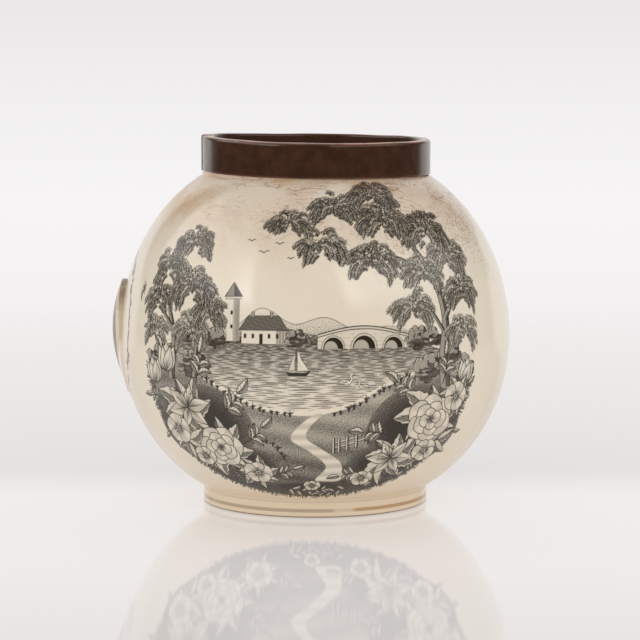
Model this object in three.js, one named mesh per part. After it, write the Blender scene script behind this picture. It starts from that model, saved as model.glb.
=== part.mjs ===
import * as THREE from 'three';

// Globular glazed jar with a sheet-copper collar folded over its neck and an oval boss on one side.
// Millimetres, +Z up, table at z = 0. The front faces -Y and the boss faces -X.

// Fired jar: a globe of two half ovals that meet upright at the waist, where it is widest.
// The stretch is the half height of each oval over the height that the globe uses of it.
const bellyRadius = 97.3;
const waistHeight = 82.9;
const ovalStretch = 1.135;
const wall = 5;

// Foot ring and recessed underside
const footRadius = 56;
const footHeight = 8.4;
const footRingWidth = 5;
const footEdgeRound = 0.7;
const footCove = 1.1;
const recessDepth = 2.4;
const baseThickness = 5;

// Collar of sheet copper folded closely over the lip, its two ends lapped
const totalHeight = 180.7;
const collarRadius = 57;
const sheet = 0.7;
const outerTopRound = 2;
const innerTopRound = 1.4;
const innerSkirt = 9;
const lapAngle = 12;
const lapRampAngle = 8;
const lapCentreAngle = 180;
const lapGap = 0.2;
const lapRise = 1.9;
const lapRisePower = 4;

// Neck, and the plaster that beds the fold of the collar on its lip
const neckRise = 14.7;
const neckWall = 3;
const neckFillet = 0.2;
const lipRound = 0.8;
const bedding = 1.2;
const beddingRound = 1.1;
const seatGap = 0.3;

// Oval boss on the side: a dome with its own arc, thick at its top edge and running out below
const bossHeight = 57;
const bossWidth = 39;
const bossCentreHeight = 82.6;
const bossProud = 4;
const bossArcRadius = 59.5;
const bossApexHeight = 87;
const bossLeastEdge = 0.6;
const bossSideFall = 0.68;

// Facets
const aroundSteps = 64;
const outerArcSteps = 10;
const innerArcSteps = 7;
const roundSteps = 3;
const sheetRoundSteps = 4;
const bossRings = 8;
const bossSteps = 40;

// Worked out from the values above
const jarAxisX = bossProud / 2;
const neckRadius = collarRadius - sheet - seatGap;
const neckInnerRadius = neckRadius - neckWall;
const neckTop = totalHeight - sheet - bedding - 2 * seatGap;
const mouthRadius = neckInnerRadius - seatGap - sheet;
const shoulderTop = neckTop - neckRise;
const floorHeight = recessDepth + baseThickness;
const lowerOval = globeOval(footRadius, waistHeight - footHeight);
const upperOval = globeOval(neckRadius, shoulderTop - waistHeight);

const creamGlaze = new THREE.MeshStandardMaterial({ color: 0xdacdb9, roughness: 0.15, metalness: 0 });
const brownCopper = new THREE.MeshStandardMaterial({ color: 0x4a2c20, roughness: 0.38, metalness: 0.85 });
const agedPlaster = new THREE.MeshStandardMaterial({ color: 0xb9a88c, roughness: 0.9, metalness: 0 });
const bossLustre = new THREE.MeshStandardMaterial({ color: 0xa99a8c, roughness: 0.2, metalness: 0.2 });

const radians = (degrees) => (degrees * Math.PI) / 180;

// The oval that stands upright at the belly and comes in to a radius over a height
function globeOval(endRadius, over) {
  const reached = Math.sqrt(1 - 1 / ovalStretch ** 2);
  const halfWidth = (bellyRadius - endRadius) / (1 - reached);
  return { centreRadius: bellyRadius - halfWidth, halfWidth, halfHeight: ovalStretch * over };
}

// The same oval with its line moved outwards, or inwards where the amount is negative
function movedOval({ centreRadius, halfWidth, halfHeight }, by) {
  return { centreRadius, halfWidth: halfWidth + by, halfHeight: halfHeight + by };
}

// Angle on an oval, from its waist, where its line has a radius
function angleAtRadius(oval, radius) {
  return Math.acos((radius - oval.centreRadius) / oval.halfWidth);
}

// Points of an oval in the profile plane between two angles, both ends included
function ovalPoints(oval, from, to, steps) {
  const points = [];
  for (let i = 0; i <= steps; i += 1) {
    const angle = from + ((to - from) * i) / steps;
    const radius = oval.centreRadius + oval.halfWidth * Math.cos(angle);
    points.push(new THREE.Vector2(radius, waistHeight + oval.halfHeight * Math.sin(angle)));
  }
  return points;
}

// Points of a round arc in the profile plane, both ends included
function arcPoints(centreRadius, centreHeight, arcRadius, from, to, steps) {
  const points = [];
  for (let i = 0; i <= steps; i += 1) {
    const angle = from + ((to - from) * i) / steps;
    const radius = centreRadius + arcRadius * Math.cos(angle);
    points.push(new THREE.Vector2(radius, centreHeight + arcRadius * Math.sin(angle)));
  }
  return points;
}

// Outside radius of the fired jar at a height on the globe
function globeRadius(height) {
  const oval = height > waistHeight ? upperOval : lowerOval;
  const share = (height - waistHeight) / oval.halfHeight;
  return oval.centreRadius + oval.halfWidth * Math.sqrt(1 - share ** 2);
}

// A small rounding from one point to another, pulled towards their corner
function roundingPoints(start, corner, end, steps) {
  return new THREE.QuadraticBezierCurve(start, corner, end).getPoints(steps);
}

// Turns a profile of (radius, height) points about the jar's upright axis
function turned(name, profile, material) {
  const geometry = new THREE.LatheGeometry(profile, aroundSteps);
  geometry.rotateX(Math.PI / 2);
  const mesh = new THREE.Mesh(geometry, material);
  mesh.name = name;
  return mesh;
}

// Closed mesh from a list of points and a list of triangles
function builtMesh(name, points, triangles, material) {
  const geometry = new THREE.BufferGeometry();
  geometry.setFromPoints(points);
  geometry.setIndex(triangles.flat());
  geometry.computeVertexNormals();
  const mesh = new THREE.Mesh(geometry, material);
  mesh.name = name;
  return mesh;
}

// Underside, foot ring and the cove where the globe starts
function footProfile() {
  const ringInner = footRadius - footRingWidth;
  const coveStart = new THREE.Vector2(footRadius, footHeight - footCove);
  const coveCorner = new THREE.Vector2(footRadius, footHeight);
  const coveAngle = -angleAtRadius(lowerOval, footRadius + footCove);
  const [coveEnd, ...globeLine] = ovalPoints(lowerOval, coveAngle, 0, outerArcSteps);
  return [
    new THREE.Vector2(0, recessDepth),
    new THREE.Vector2(ringInner - recessDepth, recessDepth),
    new THREE.Vector2(ringInner, 0),
    ...arcPoints(footRadius - footEdgeRound, footEdgeRound, footEdgeRound, -Math.PI / 2, 0, roundSteps),
    ...roundingPoints(coveStart, coveCorner, coveEnd, roundSteps),
    ...globeLine,
  ];
}

// Shoulder up to the fillet, then the straight neck and its rounded lip
function shoulderProfile() {
  const shoulderEnd = angleAtRadius(upperOval, neckRadius + neckFillet);
  const shoulder = ovalPoints(upperOval, 0, shoulderEnd, outerArcSteps).slice(1);
  const filletStart = shoulder.pop();
  const filletCorner = new THREE.Vector2(neckRadius, shoulderTop);
  const filletEnd = new THREE.Vector2(neckRadius, shoulderTop + neckFillet);
  return [
    ...shoulder,
    ...roundingPoints(filletStart, filletCorner, filletEnd, roundSteps),
    ...arcPoints(neckRadius - lipRound, neckTop - lipRound, lipRound, 0, Math.PI / 2, roundSteps),
    ...arcPoints(neckInnerRadius + lipRound, neckTop - lipRound, lipRound, Math.PI / 2, Math.PI, roundSteps),
  ];
}

// Inside of the neck and globe, from the top down to the middle of the floor
function insideProfile() {
  const upperInside = movedOval(upperOval, -wall);
  const lowerInside = movedOval(lowerOval, -wall);
  const topAngle = angleAtRadius(upperInside, neckInnerRadius);
  const floorAngle = -Math.asin((waistHeight - floorHeight) / lowerInside.halfHeight);
  return [
    ...ovalPoints(upperInside, topAngle, 0, innerArcSteps),
    ...ovalPoints(lowerInside, 0, floorAngle, innerArcSteps).slice(1),
    new THREE.Vector2(0, floorHeight),
  ];
}

function jarBody() {
  return turned('jar_body', [...footProfile(), ...shoulderProfile(), ...insideProfile()], creamGlaze);
}

// Lower edge of the collar's outer skirt: it stands on the shoulder with the seat gap under it
function skirtBottom() {
  const under = movedOval(upperOval, seatGap);
  return waistHeight + under.halfHeight * Math.sin(angleAtRadius(under, collarRadius - sheet));
}

// Section of the folded sheet, grown outwards where it laps over the other end
function sheetSection(grow) {
  const outside = collarRadius + grow;
  const inside = mouthRadius - grow;
  const top = totalHeight + grow;
  const outerRound = outerTopRound + grow;
  const innerRound = innerTopRound + grow;
  const outerCentre = [outside - outerRound, top - outerRound];
  const innerCentre = [inside + innerRound, top - innerRound];
  const innerBottom = totalHeight - innerSkirt;
  return [
    new THREE.Vector2(outside, skirtBottom()),
    ...arcPoints(...outerCentre, outerRound, 0, Math.PI / 2, sheetRoundSteps),
    ...arcPoints(...innerCentre, innerRound, Math.PI / 2, Math.PI, sheetRoundSteps),
    new THREE.Vector2(inside, innerBottom),
    new THREE.Vector2(inside + sheet, innerBottom),
    ...arcPoints(...innerCentre, innerRound - sheet, Math.PI, Math.PI / 2, sheetRoundSteps),
    ...arcPoints(...outerCentre, outerRound - sheet, Math.PI / 2, 0, sheetRoundSteps),
    new THREE.Vector2(outside - sheet, skirtBottom()),
  ];
}

// How far the sheet is grown along its run: flat round the neck, then a ramp up over its own start
function lapGrowth(along) {
  const rampEnd = 360;
  const rampStart = rampEnd - lapRampAngle;
  const share = Math.min(1, Math.max(0, (along - rampStart) / (rampEnd - rampStart)));
  return share * (sheet + lapGap);
}

// How much higher the whole strip stands at an angle: most at its lap, nothing opposite
function liftAt(angle) {
  return lapRise * ((1 + Math.cos(angle - radians(lapCentreAngle))) / 2) ** lapRisePower;
}

// One strip of sheet carried once round the neck, its end lapped over its start
function rimCollar() {
  const run = 360 + lapAngle;
  const start = lapCentreAngle - lapAngle / 2;
  const stepAngle = 360 / aroundSteps;
  const stops = [];
  for (let along = 0; along < 360 - lapRampAngle - stepAngle / 2; along += stepAngle) stops.push(along);
  stops.push(360 - lapRampAngle, 360 - lapRampAngle / 2, 360, 360 + lapAngle / 2, run);
  const points = [];
  for (const along of stops) {
    const angle = radians(start + along);
    for (const spot of sheetSection(lapGrowth(along))) {
      const height = spot.y + liftAt(angle);
      points.push(new THREE.Vector3(spot.x * Math.cos(angle), spot.x * Math.sin(angle), height));
    }
  }
  const loop = sheetSection(0).length;
  const triangles = [];
  for (let i = 0; i + 1 < stops.length; i += 1) {
    for (let j = 0; j < loop; j += 1) {
      const a = i * loop + j;
      const b = i * loop + ((j + 1) % loop);
      triangles.push([a, a + loop, b], [b, a + loop, b + loop]);
    }
  }
  const ends = THREE.ShapeUtils.triangulateShape(sheetSection(0), []);
  const last = (stops.length - 1) * loop;
  for (const [a, b, c] of ends) {
    triangles.push([a, b, c], [last + a, last + c, last + b]);
  }
  return builtMesh('rim_collar', points, triangles, brownCopper);
}

// Plaster ring between the lip and the fold of the collar
function collarBedding() {
  const outerCentre = neckRadius - beddingRound;
  const innerCentre = neckInnerRadius + beddingRound;
  const top = totalHeight - sheet - seatGap;
  const bottom = new THREE.Vector2(neckRadius, top - bedding);
  return turned('collar_bedding', [
    bottom,
    ...arcPoints(outerCentre, top - beddingRound, beddingRound, 0, Math.PI / 2, roundSteps),
    ...arcPoints(innerCentre, top - beddingRound, beddingRound, Math.PI / 2, Math.PI, roundSteps),
    new THREE.Vector2(neckInnerRadius, bottom.y),
    bottom.clone(),
  ], agedPlaster);
}

// How far the boss stands out of the globe on its centre line, by height
function bossReach(height) {
  const apex = bellyRadius + bossProud;
  const face = apex - bossArcRadius + Math.sqrt(bossArcRadius ** 2 - (height - bossApexHeight) ** 2);
  return Math.max(bossLeastEdge + seatGap, face - globeRadius(height));
}

// A point of the boss: across and up are shares of its half width and half height
function bossPoint(across, up, onFace) {
  const height = bossCentreHeight + (up * bossHeight) / 2;
  const turn = Math.PI - (across * bossWidth) / 2 / bellyRadius;
  const face = seatGap + (bossReach(height) - seatGap) * (1 - bossSideFall * across ** 2);
  const radius = globeRadius(height) + (onFace ? face : seatGap);
  return new THREE.Vector3(radius * Math.cos(turn), radius * Math.sin(turn), height);
}

// Oval boss: domed face, back that follows the globe, and the edge between them
function sideBoss() {
  const points = [];
  const layers = [true, false];
  for (const onFace of layers) {
    points.push(bossPoint(0, 0, onFace));
    for (let ring = 1; ring <= bossRings; ring += 1) {
      for (let step = 0; step < bossSteps; step += 1) {
        const angle = (step / bossSteps) * 2 * Math.PI;
        const share = ring / bossRings;
        points.push(bossPoint(share * Math.cos(angle), share * Math.sin(angle), onFace));
      }
    }
  }
  const layerSize = 1 + bossRings * bossSteps;
  const at = (layer, ring, step) => layer * layerSize + 1 + (ring - 1) * bossSteps + (step % bossSteps);
  const triangles = [];
  for (let step = 0; step < bossSteps; step += 1) {
    triangles.push([0, at(0, 1, step + 1), at(0, 1, step)]);
    triangles.push([layerSize, at(1, 1, step), at(1, 1, step + 1)]);
    for (let ring = 1; ring < bossRings; ring += 1) {
      triangles.push([at(0, ring, step), at(0, ring, step + 1), at(0, ring + 1, step)]);
      triangles.push([at(0, ring, step + 1), at(0, ring + 1, step + 1), at(0, ring + 1, step)]);
      triangles.push([at(1, ring, step), at(1, ring + 1, step), at(1, ring, step + 1)]);
      triangles.push([at(1, ring, step + 1), at(1, ring + 1, step), at(1, ring + 1, step + 1)]);
    }
    triangles.push([at(0, bossRings, step), at(0, bossRings, step + 1), at(1, bossRings, step)]);
    triangles.push([at(0, bossRings, step + 1), at(1, bossRings, step + 1), at(1, bossRings, step)]);
  }
  return builtMesh('side_boss', points, triangles, bossLustre);
}

const jar = new THREE.Group();
jar.position.x = jarAxisX;
jar.add(jarBody(), rimCollar(), collarBedding(), sideBoss());

export default jar;
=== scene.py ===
import math

import bpy
import numpy as np
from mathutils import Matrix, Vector


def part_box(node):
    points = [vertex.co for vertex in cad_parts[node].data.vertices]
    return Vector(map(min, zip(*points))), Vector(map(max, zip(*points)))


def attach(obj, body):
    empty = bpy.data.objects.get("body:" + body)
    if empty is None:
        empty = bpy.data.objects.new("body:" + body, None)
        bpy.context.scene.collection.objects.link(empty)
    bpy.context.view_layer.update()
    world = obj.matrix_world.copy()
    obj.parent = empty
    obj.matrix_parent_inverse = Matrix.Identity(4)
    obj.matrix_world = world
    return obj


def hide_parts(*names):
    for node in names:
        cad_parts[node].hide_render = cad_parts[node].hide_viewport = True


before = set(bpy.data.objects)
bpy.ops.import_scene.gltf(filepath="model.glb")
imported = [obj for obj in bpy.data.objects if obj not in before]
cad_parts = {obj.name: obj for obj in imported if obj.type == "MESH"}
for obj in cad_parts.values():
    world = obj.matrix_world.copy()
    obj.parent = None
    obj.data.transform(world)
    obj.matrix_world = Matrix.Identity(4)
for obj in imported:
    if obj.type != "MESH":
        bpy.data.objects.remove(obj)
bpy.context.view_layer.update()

scene = bpy.context.scene
scene.view_settings.view_transform = "Standard"

mm = 0.001
jarLow, jarHigh = (np.array(corner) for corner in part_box("jar_body"))
axisX = (jarLow[0] + jarHigh[0]) / 2             # the jar was turned about this upright line
inkSkin = 0.04 * mm                              # how high the print lies, inside the jar's own size
bellyRadius = (jarHigh[1] - jarLow[1]) / 2 - inkSkin
collarLow, collarHigh = (np.array(corner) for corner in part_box("rim_collar"))
collarRadius = (collarHigh[1] - collarLow[1]) / 2
print("stage 1: frame loaded, belly radius %.1f mm" % (bellyRadius / mm))


# small helpers for materials

def newMaterial(name):
    material = bpy.data.materials.new(name)
    material.use_nodes = True
    material.node_tree.nodes.clear()
    return material, material.node_tree


def addNode(tree, kind, inputs=None, **settings):
    made = tree.nodes.new("ShaderNode" + kind)
    for name, value in settings.items():
        setattr(made, name, value)
    for name, value in (inputs or {}).items():
        plug = made.inputs[name]
        if isinstance(value, bpy.types.NodeSocket):
            tree.links.new(value, plug)
        else:
            plug.default_value = value
    return made


def maths(tree, operation, first, second=0.0, third=0.0, clamp=False):
    values = {0: first, 1: second, 2: third}
    return addNode(tree, "Math", values, operation=operation, use_clamp=clamp).outputs[0]


def times(tree, first, second, clamp=False):
    return maths(tree, "MULTIPLY", first, second, clamp=clamp)

def minus(tree, first, second):
    return maths(tree, "SUBTRACT", first, second)

def stretched(tree, place, x, y, z):
    return addNode(tree, "Mapping", {"Vector": place, "Scale": (x, y, z)}).outputs[0]

def ramp(tree, value, low, high, fromValue=0.0, toValue=1.0):
    limits = {"Value": value, "From Min": low, "From Max": high, "To Min": fromValue, "To Max": toValue}
    made = addNode(tree, "MapRange", limits, clamp=True, interpolation_type="SMOOTHSTEP")
    return made.outputs[0]


def mixValue(tree, factor, first, second):
    return addNode(tree, "Mix", {0: factor, 2: first, 3: second}).outputs[0]


def mixColour(tree, factor, first, second, blend="MIX"):
    made = tree.nodes.new("ShaderNodeMix")
    made.data_type = "RGBA"
    made.blend_type = blend
    for plug, value in ((made.inputs[0], factor), (made.inputs[6], first), (made.inputs[7], second)):
        if isinstance(value, bpy.types.NodeSocket):
            tree.links.new(value, plug)
        elif plug == made.inputs[0]:
            plug.default_value = value
        else:
            plug.default_value = (*value, 1.0)
    return made.outputs[2]


def noise(tree, place, scale, detail=3.0, roughness=0.5, output=0):
    inputs = {"Vector": place, "Scale": scale, "Detail": detail, "Roughness": roughness}
    return addNode(tree, "TexNoise", inputs).outputs[output]


def bump(tree, height, distance, strength=1.0, normal=None):
    inputs = {"Height": height, "Distance": distance, "Strength": strength}
    if normal is not None:
        inputs["Normal"] = normal
    return addNode(tree, "Bump", inputs).outputs[0]


def finishMaterial(tree, **inputs):
    finish = {name.replace("_", " "): value for name, value in inputs.items()}
    shader = addNode(tree, "BsdfPrincipled", finish)
    addNode(tree, "OutputMaterial", {"Surface": shader.outputs[0]})
    return shader


def photoColour(red, green, blue):
    # a colour read as 0 to 255, turned into Blender's linear values
    return tuple(((c / 255 + 0.055) / 1.055) ** 2.4 if c > 10 else c / 255 / 12.92
                 for c in (red, green, blue))


def fourOf(colour):
    return (*colour, 1.0)


# camera at the photograph's viewing angle

cameraPlace = dict(distance=1305.8 * mm, height=229.4 * mm, sideStep=2.5 * mm, pitch=6.084, lens=147.48)

camera = bpy.data.objects.new("camera", bpy.data.cameras.new("camera"))
scene.collection.objects.link(camera)
camera.location = (axisX + cameraPlace["sideStep"], -cameraPlace["distance"], cameraPlace["height"])
camera.rotation_euler = (math.radians(90 - cameraPlace["pitch"]), 0, 0)
camera.data.lens = cameraPlace["lens"]
camera.data.sensor_width = 36
camera.data.clip_end = 50
scene.camera = camera


# pale studio: a glossy white board on the table, and a white sweep far behind it

studio = dict(
    boardRadius=1.05, boardFade=0.55, boardSides=96, boardRoughness=0.045, boardIor=1.35,
    boardColour=photoColour(178, 173, 172), boardGlow=0.33, boardFill=0.24,
    # painted shade on the board: darker behind the jar and towards the camera
    backEdge=(0.0, 0.10), backDim=0.82,          # the board darkens between these depths behind the jar
    frontEdge=(-0.15, -0.34), frontDim=0.93,     # and again towards the camera
    daylight=1.42, overhead=0.72, reflectedRoom=0.06, reflectedSweep=0.86, reflectedCeiling=0.40,
    sweepEdge=(0.64, 0.85), sweepSoft=0.045,     # how far round the sweep begins, low down and higher up
    # colours of the sweep by the sine of the height looked at, from low to high
    sweep=[(-0.168, (224, 219, 219)), (-0.141, (231, 227, 228)), (-0.120, (239, 234, 236)),
           (-0.098, (245, 241, 242)), (-0.060, (246, 244, 244)), (-0.022, (241, 239, 240)),
           (0.014, (234, 231, 232))],
)


def buildBoard():
    rim = [(studio["boardRadius"] * math.cos(a), studio["boardRadius"] * math.sin(a), 0)
           for a in np.linspace(0, 2 * math.pi, studio["boardSides"], endpoint=False)]
    mesh = bpy.data.meshes.new("white_board")
    mesh.from_pydata(rim, [], [tuple(range(len(rim)))])
    board = bpy.data.objects.new("white_board", mesh)
    scene.collection.objects.link(board)
    material, tree = newMaterial("whiteBoard")
    place = addNode(tree, "TexCoord").outputs["Object"]
    depth = addNode(tree, "SeparateXYZ", {"Vector": place}).outputs["Y"]
    cloud = ramp(tree, noise(tree, place, 2.0, 2.0), 0.3, 0.7, 0.985, 1.0)
    # painted shade: the board is dimmed behind the jar and towards the camera
    level = times(tree, cloud, ramp(tree, depth, *studio["backEdge"], 1.0, studio["backDim"]))
    front = ramp(tree, times(tree, depth, -1.0), *(-d for d in studio["frontEdge"]), 1.0, studio["frontDim"])
    level = times(tree, level, front)
    grey = addNode(tree, "CombineColor", {"Red": level, "Green": level, "Blue": level}).outputs[0]
    colour = mixColour(tree, 1.0, studio["boardColour"], grey, "MULTIPLY")
    # the board lights the jar from below more than it shows itself
    rays = addNode(tree, "LightPath").outputs
    unseen = minus(tree, 1.0, maths(tree, "MAXIMUM", rays["Is Camera Ray"], rays["Is Glossy Ray"]))
    glow = maths(tree, "MULTIPLY_ADD", unseen, studio["boardFill"], studio["boardGlow"])
    glow = times(tree, level, glow)
    finish = {"Base Color": colour, "Roughness": studio["boardRoughness"], "IOR": studio["boardIor"],
              "Emission Color": (1.0, 0.985, 0.975, 1.0), "Emission Strength": glow}
    shader = addNode(tree, "BsdfPrincipled", finish)
    away = addNode(tree, "VectorMath", {0: place}, operation="LENGTH").outputs["Value"]
    fade = ramp(tree, away, studio["boardFade"], studio["boardRadius"] * 0.98)
    clear = addNode(tree, "BsdfTransparent")
    mixed = addNode(tree, "MixShader", {0: fade, 1: shader.outputs[0], 2: clear.outputs[0]})
    addNode(tree, "OutputMaterial", {"Surface": mixed.outputs[0]})
    mesh.materials.append(material)


# soft panels that show as pale windows in the glaze, in degrees round from the front and up,
# each with a brighter inner part
softPanels = [
    dict(inner=-37, outer=-124, low=17, high=50, lean=0.32, pale=1.7, bright=4.6, brightWidth=20),
    dict(inner=22, outer=110, low=19, high=42, lean=-0.40, pale=1.5, bright=4.8, brightWidth=15),
]


def panelLight(tree, turn, rise, panel):
    # how bright one soft panel is in the direction looked at
    low, high = math.radians(panel["low"]), math.radians(panel["high"])
    side = math.copysign(1.0, panel["inner"])
    leaning = times(tree, minus(tree, rise, low), panel["lean"])
    inward = minus(tree, times(tree, turn, side), math.radians(abs(panel["inner"])))
    inward = minus(tree, inward, leaning)
    width = math.radians(abs(panel["outer"]) - abs(panel["inner"]))
    outerEdge = ramp(tree, inward, width - 0.04, width + 0.04, 1.0, 0.0)
    across = times(tree, ramp(tree, inward, -0.03, 0.05), outerEdge)
    topEdge = ramp(tree, rise, high - 0.05, high + 0.05, 1.0, 0.0)
    upright = times(tree, ramp(tree, rise, low - 0.05, low + 0.12), topEdge)
    hot = times(tree, ramp(tree, inward, 0.0, math.radians(panel["brightWidth"]), 1.0, 0.0),
                ramp(tree, rise, low + 0.1, high, 1.0, 0.35))
    level = maths(tree, "MULTIPLY_ADD", hot, panel["bright"] - panel["pale"], panel["pale"])
    return times(tree, times(tree, across, upright), level)


def buildWorld():
    world = bpy.data.worlds.new("studio")
    scene.world = world
    world.use_nodes = True
    tree = world.node_tree
    tree.nodes.clear()
    direction = addNode(tree, "TexCoord").outputs["Generated"]
    parts = addNode(tree, "SeparateXYZ", {"Vector": direction})
    sweep = addNode(tree, "ValToRGB", {"Fac": maths(tree, "ADD", parts.outputs["Z"], 0.5)})
    stops = sweep.color_ramp.elements
    for k, (height, colour) in enumerate(studio["sweep"]):
        stop = stops[k] if k < 2 else stops.new(0.9 + 0.01 * k)
        stop.position, stop.color = height + 0.5, fourOf(photoColour(*colour))
    # in the glaze and copper, a white sweep behind the jar and a dimmer room in front of it
    turn = maths(tree, "ARCTAN2", parts.outputs["X"], times(tree, parts.outputs["Y"], -1.0))
    rise = maths(tree, "ARCSINE", parts.outputs["Z"])
    backward = times(tree, maths(tree, "COSINE", turn), -1.0)
    past = minus(tree, backward, ramp(tree, parts.outputs["Z"], 0.05, 0.25, *studio["sweepEdge"]))
    behind = ramp(tree, past, -studio["sweepSoft"], studio["sweepSoft"])
    mirrored = ramp(tree, behind, 0.0, 1.0, studio["reflectedRoom"], studio["reflectedSweep"])
    for panel in softPanels:
        mirrored = maths(tree, "MAXIMUM", mirrored, panelLight(tree, turn, rise, panel))
    ceiling = ramp(tree, parts.outputs["Z"], 0.55, 0.92, 0.0, studio["reflectedCeiling"])
    mirrored = maths(tree, "MAXIMUM", mirrored, ceiling)
    rays = addNode(tree, "LightPath").outputs
    soft = ramp(tree, parts.outputs["Z"], 0.0, 0.85, studio["daylight"], studio["overhead"])
    level = mixValue(tree, rays["Is Glossy Ray"], soft, mirrored)
    plain = mixColour(tree, rays["Is Camera Ray"], (1.0, 0.99, 0.985), sweep.outputs["Color"])
    strength = mixValue(tree, rays["Is Camera Ray"], level, 1.0)
    light = addNode(tree, "Background", {"Color": plain, "Strength": strength})
    addNode(tree, "OutputWorld", {"Surface": light.outputs[0]})


# lamps that light the jar without being seen in it: size in metres, power in watts
softBoxes = {
    "leftBox": dict(place=(-0.80, -0.90, 0.50), size=(0.60, 0.46), power=0.6),
    "rightBox": dict(place=(0.70, -0.90, 0.56), size=(0.60, 0.46), power=0.6),
}


def buildLights():
    for name, box in softBoxes.items():
        lamp = bpy.data.lights.new(name, "AREA")
        lamp.shape = "RECTANGLE"
        lamp.size, lamp.size_y = box["size"]
        lamp.energy = box["power"]
        holder = bpy.data.objects.new(name, lamp)
        holder.visible_glossy = False
        scene.collection.objects.link(holder)
        holder.location = box["place"]
        aim = Vector((axisX, 0, 0.085)) - Vector(box["place"])
        holder.rotation_euler = aim.to_track_quat("-Z", "Y").to_euler()


buildBoard()
buildWorld()
buildLights()
print("stage 2: camera, floor and lights")


# outline of the fired jar, the same one that the construction has

jarShape = dict(
    waist=82.9 * mm, stretch=1.135, wall=5 * mm,
    footRadius=56 * mm, footHeight=8.4 * mm, footRingWidth=5 * mm, footEdgeRound=0.7 * mm, footCove=1.1 * mm,
    recess=2.4 * mm, base=5 * mm,
    neckRadius=56 * mm, neckRise=14.7 * mm, neckWall=3 * mm, neckFillet=0.2 * mm, lipRound=0.8 * mm,
    globeSteps=72, insideSteps=30, around=288, nearAxis=20 * mm,
)


def arcPoints(centre, radius, start, end, steps):
    angles = np.linspace(start, end, steps + 1)
    return [(centre[0] + radius * math.cos(a), centre[1] + radius * math.sin(a)) for a in angles]


def roundingPoints(start, corner, end, steps):
    points = []
    for t in np.linspace(0, 1, steps + 1):
        shares = ((1 - t) ** 2, 2 * t * (1 - t), t * t)
        points.append(tuple(sum(s * p for s, p in zip(shares, places)) for places in zip(start, corner, end)))
    return points


def globeOval(endRadius, over):
    # the half oval that stands upright at the belly and comes in to a radius over a height
    halfWidth = (bellyRadius - endRadius) / (1 - math.sqrt(1 - 1 / jarShape["stretch"] ** 2))
    return dict(centre=bellyRadius - halfWidth, halfWidth=halfWidth, halfHeight=jarShape["stretch"] * over)


def movedOval(oval, by):
    # the same oval grown or, below zero, shrunk
    return dict(centre=oval["centre"], halfWidth=oval["halfWidth"] + by, halfHeight=oval["halfHeight"] + by)


def ovalAngle(oval, radius):
    return math.acos((radius - oval["centre"]) / oval["halfWidth"])


def ovalPoints(oval, start, end, steps):
    return [(oval["centre"] + oval["halfWidth"] * math.cos(a),
             jarShape["waist"] + oval["halfHeight"] * math.sin(a))
            for a in np.linspace(start, end, steps + 1)]


shoulderTop = jarHigh[2] - jarShape["neckRise"]
lowerOval = globeOval(jarShape["footRadius"], jarShape["waist"] - jarShape["footHeight"])
upperOval = globeOval(jarShape["neckRadius"], shoulderTop - jarShape["waist"])


def globeRadius(height):
    # outside radius of the globe at a height
    oval = upperOval if height > jarShape["waist"] else lowerOval
    share = (height - jarShape["waist"]) / oval["halfHeight"]
    return oval["centre"] + oval["halfWidth"] * math.sqrt(1 - share ** 2)


def offGlaze(oval, radius, height):
    # nearly the distance out of an oval, for arrays, negative inside it
    outShare = (radius - oval["centre"]) / oval["halfWidth"]
    away = np.hypot(outShare, (height - jarShape["waist"]) / oval["halfHeight"])
    return (away - 1) * min(oval["halfWidth"], oval["halfHeight"])


def jarProfile():
    s = jarShape
    half, turn = math.pi / 2, math.pi
    foot = s["footRadius"]
    ringInner = foot - s["footRingWidth"]
    globeLine = ovalPoints(lowerOval, -ovalAngle(lowerOval, foot + s["footCove"]), 0, s["globeSteps"])
    points = [(0, s["recess"]), (s["nearAxis"], s["recess"])]
    points += [(ringInner - s["recess"], s["recess"]), (ringInner, 0.0)]
    points += arcPoints((foot - s["footEdgeRound"], s["footEdgeRound"]), s["footEdgeRound"], -half, 0, 6)
    coveStart = (foot, s["footHeight"] - s["footCove"])
    points += roundingPoints(coveStart, (foot, s["footHeight"]), globeLine[0], 8)
    points += globeLine[1:]
    neck = s["neckRadius"]
    shoulder = ovalPoints(upperOval, 0, ovalAngle(upperOval, neck + s["neckFillet"]), s["globeSteps"])
    points += shoulder[1:-1]
    points += roundingPoints(shoulder[-1], (neck, shoulderTop), (neck, shoulderTop + s["neckFillet"]), 6)
    lip, neckTop, neckInner = s["lipRound"], jarHigh[2], neck - s["neckWall"]
    points += arcPoints((neck - lip, neckTop - lip), lip, 0, half, 5)
    points += arcPoints((neckInner + lip, neckTop - lip), lip, half, turn, 5)
    upperInside, lowerInside = movedOval(upperOval, -s["wall"]), movedOval(lowerOval, -s["wall"])
    floorHeight = s["recess"] + s["base"]
    floorAngle = -math.asin((s["waist"] - floorHeight) / lowerInside["halfHeight"])
    points += ovalPoints(upperInside, ovalAngle(upperInside, neckInner), 0, s["insideSteps"])
    points += ovalPoints(lowerInside, 0, floorAngle, s["insideSteps"])[1:]
    return points + [(s["nearAxis"], floorHeight), (0, floorHeight)]


def addMesh(name, places, faces, material):
    mesh = bpy.data.meshes.new(name)
    mesh.from_pydata([tuple(p) for p in places], [], faces)
    mesh.materials.append(material)
    mesh.polygons.foreach_set("use_smooth", [True] * len(mesh.polygons))
    mesh.update()
    piece = bpy.data.objects.new(name, mesh)
    scene.collection.objects.link(piece)
    return piece


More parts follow.
